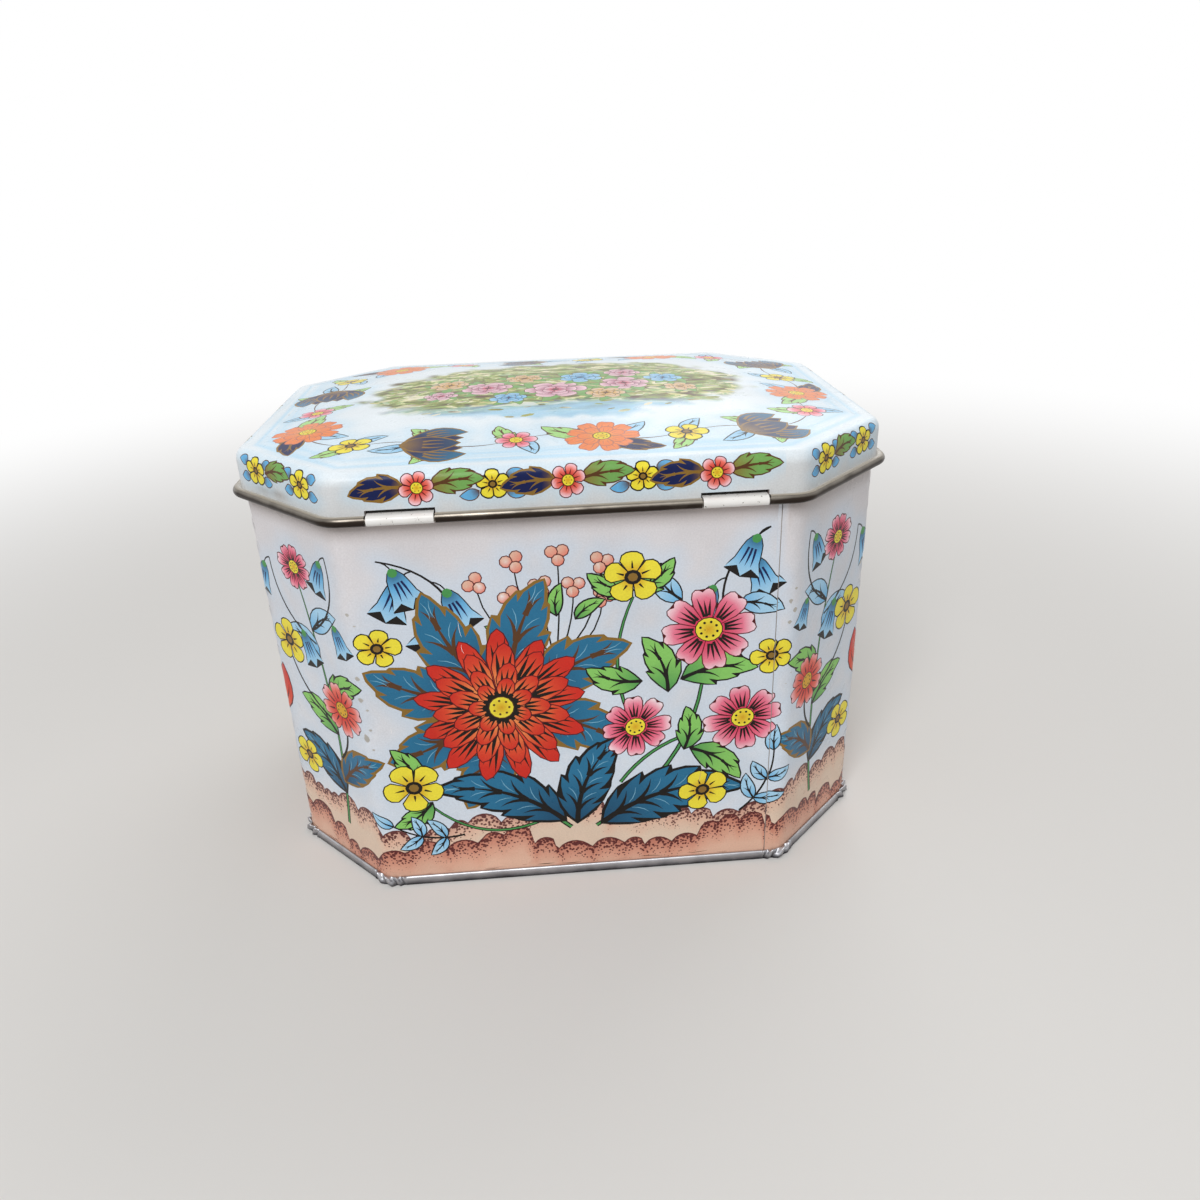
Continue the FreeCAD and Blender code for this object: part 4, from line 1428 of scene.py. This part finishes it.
def topGround(spots, halo):
    # Soft blue bands inside the edge, as if airbrushed.
    inset = edgeInset(spots)
    band = sum(share * np.exp(-((inset - middle) / width) ** 2) for share, middle, width in lid["bands"])
    blue = np.clip(band + lid["topHalo"] * halo, 0, 0.9)[:, None]
    return withShares(blend(inkLinear["lid"], inkLinear["lidHalo"], blue), pictureGround(spots))


def skirtGround(spots, halo):
    # Bluish white above, greyer below, with a tan line and a rubbed patch close to the curl.
    along, climb = spots.real, spots.imag
    plain = blend(inkLinear["lid"], linear(lid["low"]), ramp(climb, *lid["lowRise"])[:, None])
    colour = blend(plain, inkLinear["lidHalo"], (lid["skirtHalo"] * halo)[:, None])
    uneven = 0.5 + 0.3 * softNoise(spots, 7, 4)
    stain = ramp(climb, *lid["stainRise"]) * np.clip(uneven + 0.25, 0, 1)
    across = (along - panelMiddle["cornerFour"] - lid["rubFromCorner"]) / lid["rubWidth"]
    upward = (climb - lid["rubHeight"]) / lid["rubDepth"]
    rub = np.exp(-across ** 2 - upward ** 2) * np.clip(uneven + 0.3, 0, 1)
    for name, share in (("stain", stain), ("rub", rub)):
        colour = blend(colour, linear(lid[name]), (lid[name + "Share"] * share)[:, None])
    return withShares(colour)


def skirtBorder(places, notches):
    # Outline of the unrolled skirt and shoulder, and the edge of each notch.
    foot, bites = [], [[] for notch in notches]
    for place in places:
        pair = [complex(place, lid["foot"]), complex(place, lid["notchTop"])]
        edge = pair[:1]
        for bite, (first, last) in zip(bites, notches):
            if first - 0.01 < place < last + 0.01:
                edge = pair if place - first < 0.01 else pair[::-1] if last - place < 0.01 else pair[1:]
                bite += edge
        foot += edge
    rise = np.concatenate([np.linspace(lid["foot"], lid["shoulderStart"], 6)[1:-1], shoulderRows])
    return np.concatenate([foot, places[-1] + 1j * rise, (places + 1j * skirtEnd)[::-1],
                           places[0] + 1j * rise[::-1]]), bites


def makeSkirt(places, notches):
    border, bites = skirtBorder(places, notches)
    low = np.concatenate([np.arange(0.7, wallRound - 0.5, 1.8) + 1j * climb for climb in lid["lowRows"]])
    spots, triangles, colours = printedPatch(drawSkirt(), border, lid["skirtGrid"], skirtGround,
                                             lid["skirtReach"], low)
    points, normals = skirtPlace(spots, 0)
    quarter = wallRound / 4
    row = np.minimum(np.floor(spots[triangles].real.mean(1) / quarter), 3)[:, None]
    outer = asPart(points, normals, triangles, 0, spots, (0, 1), colours)
    corner = spots[triangles] - row * quarter + lidMap["skirtRow"] * row - 1j * lid["foot"] + lidMap["skirt"]
    outer["cornerMap"] = corner.ravel()
    inside = np.concatenate([places[1:-1] + 1j * climb for climb in shoulderRows])
    spots, triangles = flatPatch(border, lid["insideGrid"], more=inside)
    points, normals = skirtPlace(spots, tin["sheet"])
    unrolled = spots - 1j * lid["foot"]
    parts = [outer, flipped(asPart(points, normals, triangles, 1, unrolled, lidMap["skirtInside"]))]
    for k, bite in enumerate(bites):
        edges = [skirtPlace(np.array(bite), depth)[0] for depth in (tin["sheet"], 0)]
        parts.append(bridgePart(*edges, 1, (lidMap["notch"] + k * lidMap["notchRow"], lidMap["notchScale"])))
    return parts


def makeCrown(places):
    plan, outward = outlineAt(places[:-1])
    border = plan + outward * shoulderCentre
    sheet = bareRings(lid["rings"]) + drawLidTop()
    spots, triangles, colours = printedPatch(sheet, border, lid["topGrid"], topGround, lid["topReach"])
    outer = asPart(*topPlace(spots, 0), triangles, 0, spots, lidMap["top"], colours)
    spots, triangles = flatPatch(border, lid["crownGrid"], [lid["crownInset"]])
    inner = asPart(*topPlace(spots, tin["sheet"]), triangles, 1, spots, lidMap["topInside"])
    return [outer, flipped(inner)]


def makeCurl(start, end, k):
    # One run of the curled edge, with a closed face at each end.
    turn = np.radians(np.linspace(180, lid["curlEnd"], lid["curlSteps"]))
    curl = np.stack([hinge["axisFromWall"] + lid["curlRadius"] * np.cos(turn),
                     hinge["height"] + lid["curlRadius"] * np.sin(turn)], -1)
    curl[-1] = (lid["out"], lid["foot"])
    curl = np.concatenate([[(lid["out"] - tin["sheet"], lid["foot"])], curl])
    along = stations(4.0, 8, start, end)
    part = sweepPart(along, curl, 2, False, (lidMap["curl"] + k * lidMap["curlRow"], lidMap["curlScale"]))
    last = len(curl) - 1
    row = np.tile(np.arange(last), len(along) - 1)
    part["material"] = np.where(row >= lid["printRow"], 0, 2)
    worn = np.clip((last - row) / (last - lid["printRow"]), 0, 1)[:, None, None]
    fade = blend(linear(lid["curlPrint"]), linear(lid["curlWorn"]), worn)
    part["colours"] = np.concatenate([np.broadcast_to(fade, (len(row), 4, 3)), np.zeros((len(row), 4, 2))], 2)
    parts = [part]
    grid = part["points"].reshape(len(along), len(curl), 3)
    atlas = (lidMap["curlEnd"] + k * lidMap["curlEndRow"], lidMap["curlEndScale"])
    for ring, tip, side in ((grid[0], along[0], -1), (grid[-1][::-1], along[-1], 1)):
        _, facing = outlineAt(np.array([tip]))
        sideways = facing[0] * 1j * side
        normals = np.tile((sideways.real, sideways.imag, 0), (len(ring), 1))
        flat = ring[:, 0] + 1j * ring[:, 2] - ring[0][0] - 1j * ring[0][2]
        parts.append(asPart(ring, normals, [(0, j, j + 1) for j in range(1, last)], 2, flat, atlas))
    return parts


def makeLid():
    middles = [wallRound + lapX - side * hinge["tabMiddle"] for side in (1, -1)]
    notches = [(middle - lid["notchHalf"], middle + lid["notchHalf"]) for middle in middles]
    places = stations(4.0, 8, extra=[edge for notch in notches for edge in notch])
    parts = makeSkirt(places, notches) + makeCrown(places)
    (first, second), (third, fourth) = notches
    for k, (start, end) in enumerate(((second, third), (fourth, first + wallRound))):
        parts += makeCurl(start, end, k)
    return makePiece("lid_cap", parts, [lidPrint, insideTin, rollTin], lidMap["side"])


lidPiece = makeLid()
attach(lidPiece, "lid")
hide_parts("lid_shell")
print("lid made")

# Hinge tabs: strips that come out through the wall and wrap the wire
tab = {"leafFoot": 114.95, "leafFromWall": -0.55, "bend": 0.6, "wrap": 1.25, "tipRise": 0.3,
       "halfSheet": 0.2, "columns": 9,
       "edge": ((0, 0.1), (0.05, 0.17), (0.14, 0.2))}  # rounded sides: distance in, half thickness
tabMap = {"side": 40.0, "faces": {1: (0.5 + 0.5j, 1.0), -1: (20 + 0.5j, 1.0)},
          "ends": [(0.5 + 1j * row, 1.0) for row in (25, 26, 27, 28)]}


def tabPath():
    # Middle line of the strip, as distance out from the wall and height.
    leafOut, top = tab["leafFromWall"], hinge["height"] + tab["wrap"]
    axis = complex(hinge["axisFromWall"], hinge["height"])
    knee = complex(leafOut + tab["bend"], top - tab["bend"])
    leafRise = top - tab["bend"] - tab["leafFoot"]
    rise = [complex(leafOut, tab["leafFoot"] + leafRise * k / 4) for k in range(5)]
    over = [knee + tab["bend"] * heading(angle) for angle in (157, 135, 112, 90)]
    wrap = [axis + tab["wrap"] * heading(angle) for angle in range(90, -181, -15)]
    return np.array(rise + over + wrap + [wrap[-1] + 1j * tab["tipRise"]])


def makeTab(name, side):
    path = tabPath()
    step = np.gradient(path)
    facing = 1j * step / np.abs(step)
    half = hinge["tabWidth"] / 2
    columns = [(inward - half, thick) for inward, thick in tab["edge"]]
    columns += [(x, tab["halfSheet"]) for x in np.linspace(1 - half, half - 1, tab["columns"])]
    columns += [(half - inward, thick) for inward, thick in tab["edge"][::-1]]
    middle, run = side * hinge["tabMiddle"], np.concatenate([[0], np.cumsum(np.abs(np.diff(path)))])
    parts = []
    for face in (1, -1):
        rows = []
        for x, thick in columns:
            line = path + face * thick * facing
            across = np.full(len(line), middle + x)
            rows.append(np.stack([across, tin["halfDepth"] + line.real, line.imag], -1))
        grid = np.array(rows)
        normals = unit(np.cross(np.gradient(grid, axis=1), np.gradient(grid, axis=0)) * face)
        faces = quads(*grid.shape[:2])[:, [0, 3, 2, 1]]
        faces = faces if face > 0 else faces[:, ::-1]
        flat = (np.array([x for x, _ in columns])[:, None] + half + 1j * run[None, :]).ravel()
        points, normals = grid.reshape(-1, 3), normals.reshape(-1, 3)
        parts.append(asPart(points, normals, faces, 0, flat, tabMap["faces"][face]))
    front, back = (part["points"].reshape(len(columns), len(path), 3) for part in parts)
    pairs = ((front[:, 0], back[:, 0]), (back[:, -1], front[:, -1]), (back[0], front[0]),
             (front[-1], back[-1]))
    for (first, second), atlas in zip(pairs, tabMap["ends"]):
        parts.append(bridgePart(first, second, 0, atlas))
    return makePiece(name, parts, [whiteTin], tabMap["side"])


for name, node, side in (("tab_left", "hinge_tab_left", 1), ("tab_right", "hinge_tab_right", -1)):
    strip = makeTab(name, side)
    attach(strip, "box")
    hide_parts(node)
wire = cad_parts["hinge_wire"].data
wire.materials.clear()
wire.materials.append(wireSteel)
print("hinge made")

# Floor, light and camera
studio = {  # in metres and watts
    "floor": "#DDDBD8", "floorHalf": 6, "fadeStart": 0.22, "fadeEnd": 0.75, "sky": 0.4, "floorLight": 0.32,
    "aim": (0, 0, 0.08),
    "lamps": (("key", (0.28, 0.9, 1.0), 0.6, 10.6), ("fill", (-0.45, -0.85, 0.85), 0.9, 4.8)),
}


def backdropLevel(tree, lighting):
    # 1, which is white, for rays that show the backdrop, and less for those that only light the box
    rays = addNode(tree, "LightPath").node.outputs
    seen = rays["Is Camera Ray"]
    for name in ("Is Glossy Ray", "Is Transmission Ray"):
        seen = addNode(tree, "Math", {0: seen, 1: rays[name]}, operation="MAXIMUM")
    return addNode(tree, "MapRange", {"Value": seen, "To Min": lighting, "To Max": 1.0})


def makeFloor():
    mesh = bpy.data.meshes.new("floor")
    half = studio["floorHalf"]
    corners = [(-half, -half, 0), (half, -half, 0), (half, half, 0), (-half, half, 0)]
    mesh.from_pydata(corners, [], [(0, 1, 2, 3)])
    floor = bpy.data.objects.new("floor", mesh)
    bpy.context.scene.collection.objects.link(floor)
    # Painted board: a matt pale ground that fades to white away from the box.
    finish = {"Base Color": rgba(studio["floor"]), "Roughness": 0.9, "Specular IOR Level": 0.1}
    material, tree, surface, place = newMaterial("painted_board", finish)
    far = addNode(tree, "VectorMath", {0: place}, "Value", operation="LENGTH")
    limits = {"From Min": studio["fadeStart"], "From Max": studio["fadeEnd"]}
    fade = addNode(tree, "MapRange", {"Value": far, **limits}, interpolation_type="SMOOTHSTEP")
    level = backdropLevel(tree, studio["floorLight"])
    glow = addNode(tree, "Emission", {"Color": (1, 1, 1, 1), "Strength": level})
    mixed = addNode(tree, "MixShader", {0: fade, 1: surface.outputs[0], 2: glow})
    feed(tree, tree.nodes["Material Output"], {"Surface": mixed})
    mesh.materials.append(material)


def makeWorld():
    world = bpy.data.worlds.new("studio")
    bpy.context.scene.world = world
    world.use_nodes = True
    tree = world.node_tree
    level = backdropLevel(tree, studio["sky"])
    feed(tree, tree.nodes["Background"], {"Color": (1, 1, 1, 1), "Strength": level})


def makeLamps():
    for name, place, size, power in studio["lamps"]:
        data = bpy.data.lights.new(name, "AREA")
        data.shape, data.size, data.energy = "SQUARE", size, power
        lamp = bpy.data.objects.new(name, data)
        lamp.location = place
        lamp.rotation_euler = (Vector(studio["aim"]) - Vector(place)).to_track_quat("-Z", "Y").to_euler()
        bpy.context.scene.collection.objects.link(lamp)


photo = {"place": (6.7, 314.9, 211.2), "yaw": 3.358, "pitch": 25.146, "roll": -1.943, "lens": 28.2,
         "sensor": 36.0}


def makeCamera():
    data = bpy.data.cameras.new("photo_camera")
    data.lens, data.sensor_width = photo["lens"], photo["sensor"]
    data.clip_start, data.clip_end = 0.01, 20
    camera = bpy.data.objects.new("photo_camera", data)
    yaw, pitch, roll = (math.radians(photo[name]) for name in ("yaw", "pitch", "roll"))
    ahead = Vector((-math.sin(yaw) * math.cos(pitch), -math.cos(yaw) * math.cos(pitch), -math.sin(pitch)))
    level = Vector((-math.cos(yaw), math.sin(yaw), 0))
    above = level.cross(ahead)
    right = math.cos(roll) * level + math.sin(roll) * above
    up = math.cos(roll) * above - math.sin(roll) * level
    turned = Matrix((right, up, -ahead)).transposed().to_4x4()
    camera.matrix_world = Matrix.Translation(Vector(photo["place"]) * metresPerMm) @ turned
    bpy.context.scene.collection.objects.link(camera)
    bpy.context.scene.camera = camera


makeFloor()
makeWorld()
makeLamps()
makeCamera()
bpy.context.scene.view_settings.view_transform = "Standard"
print("studio made")
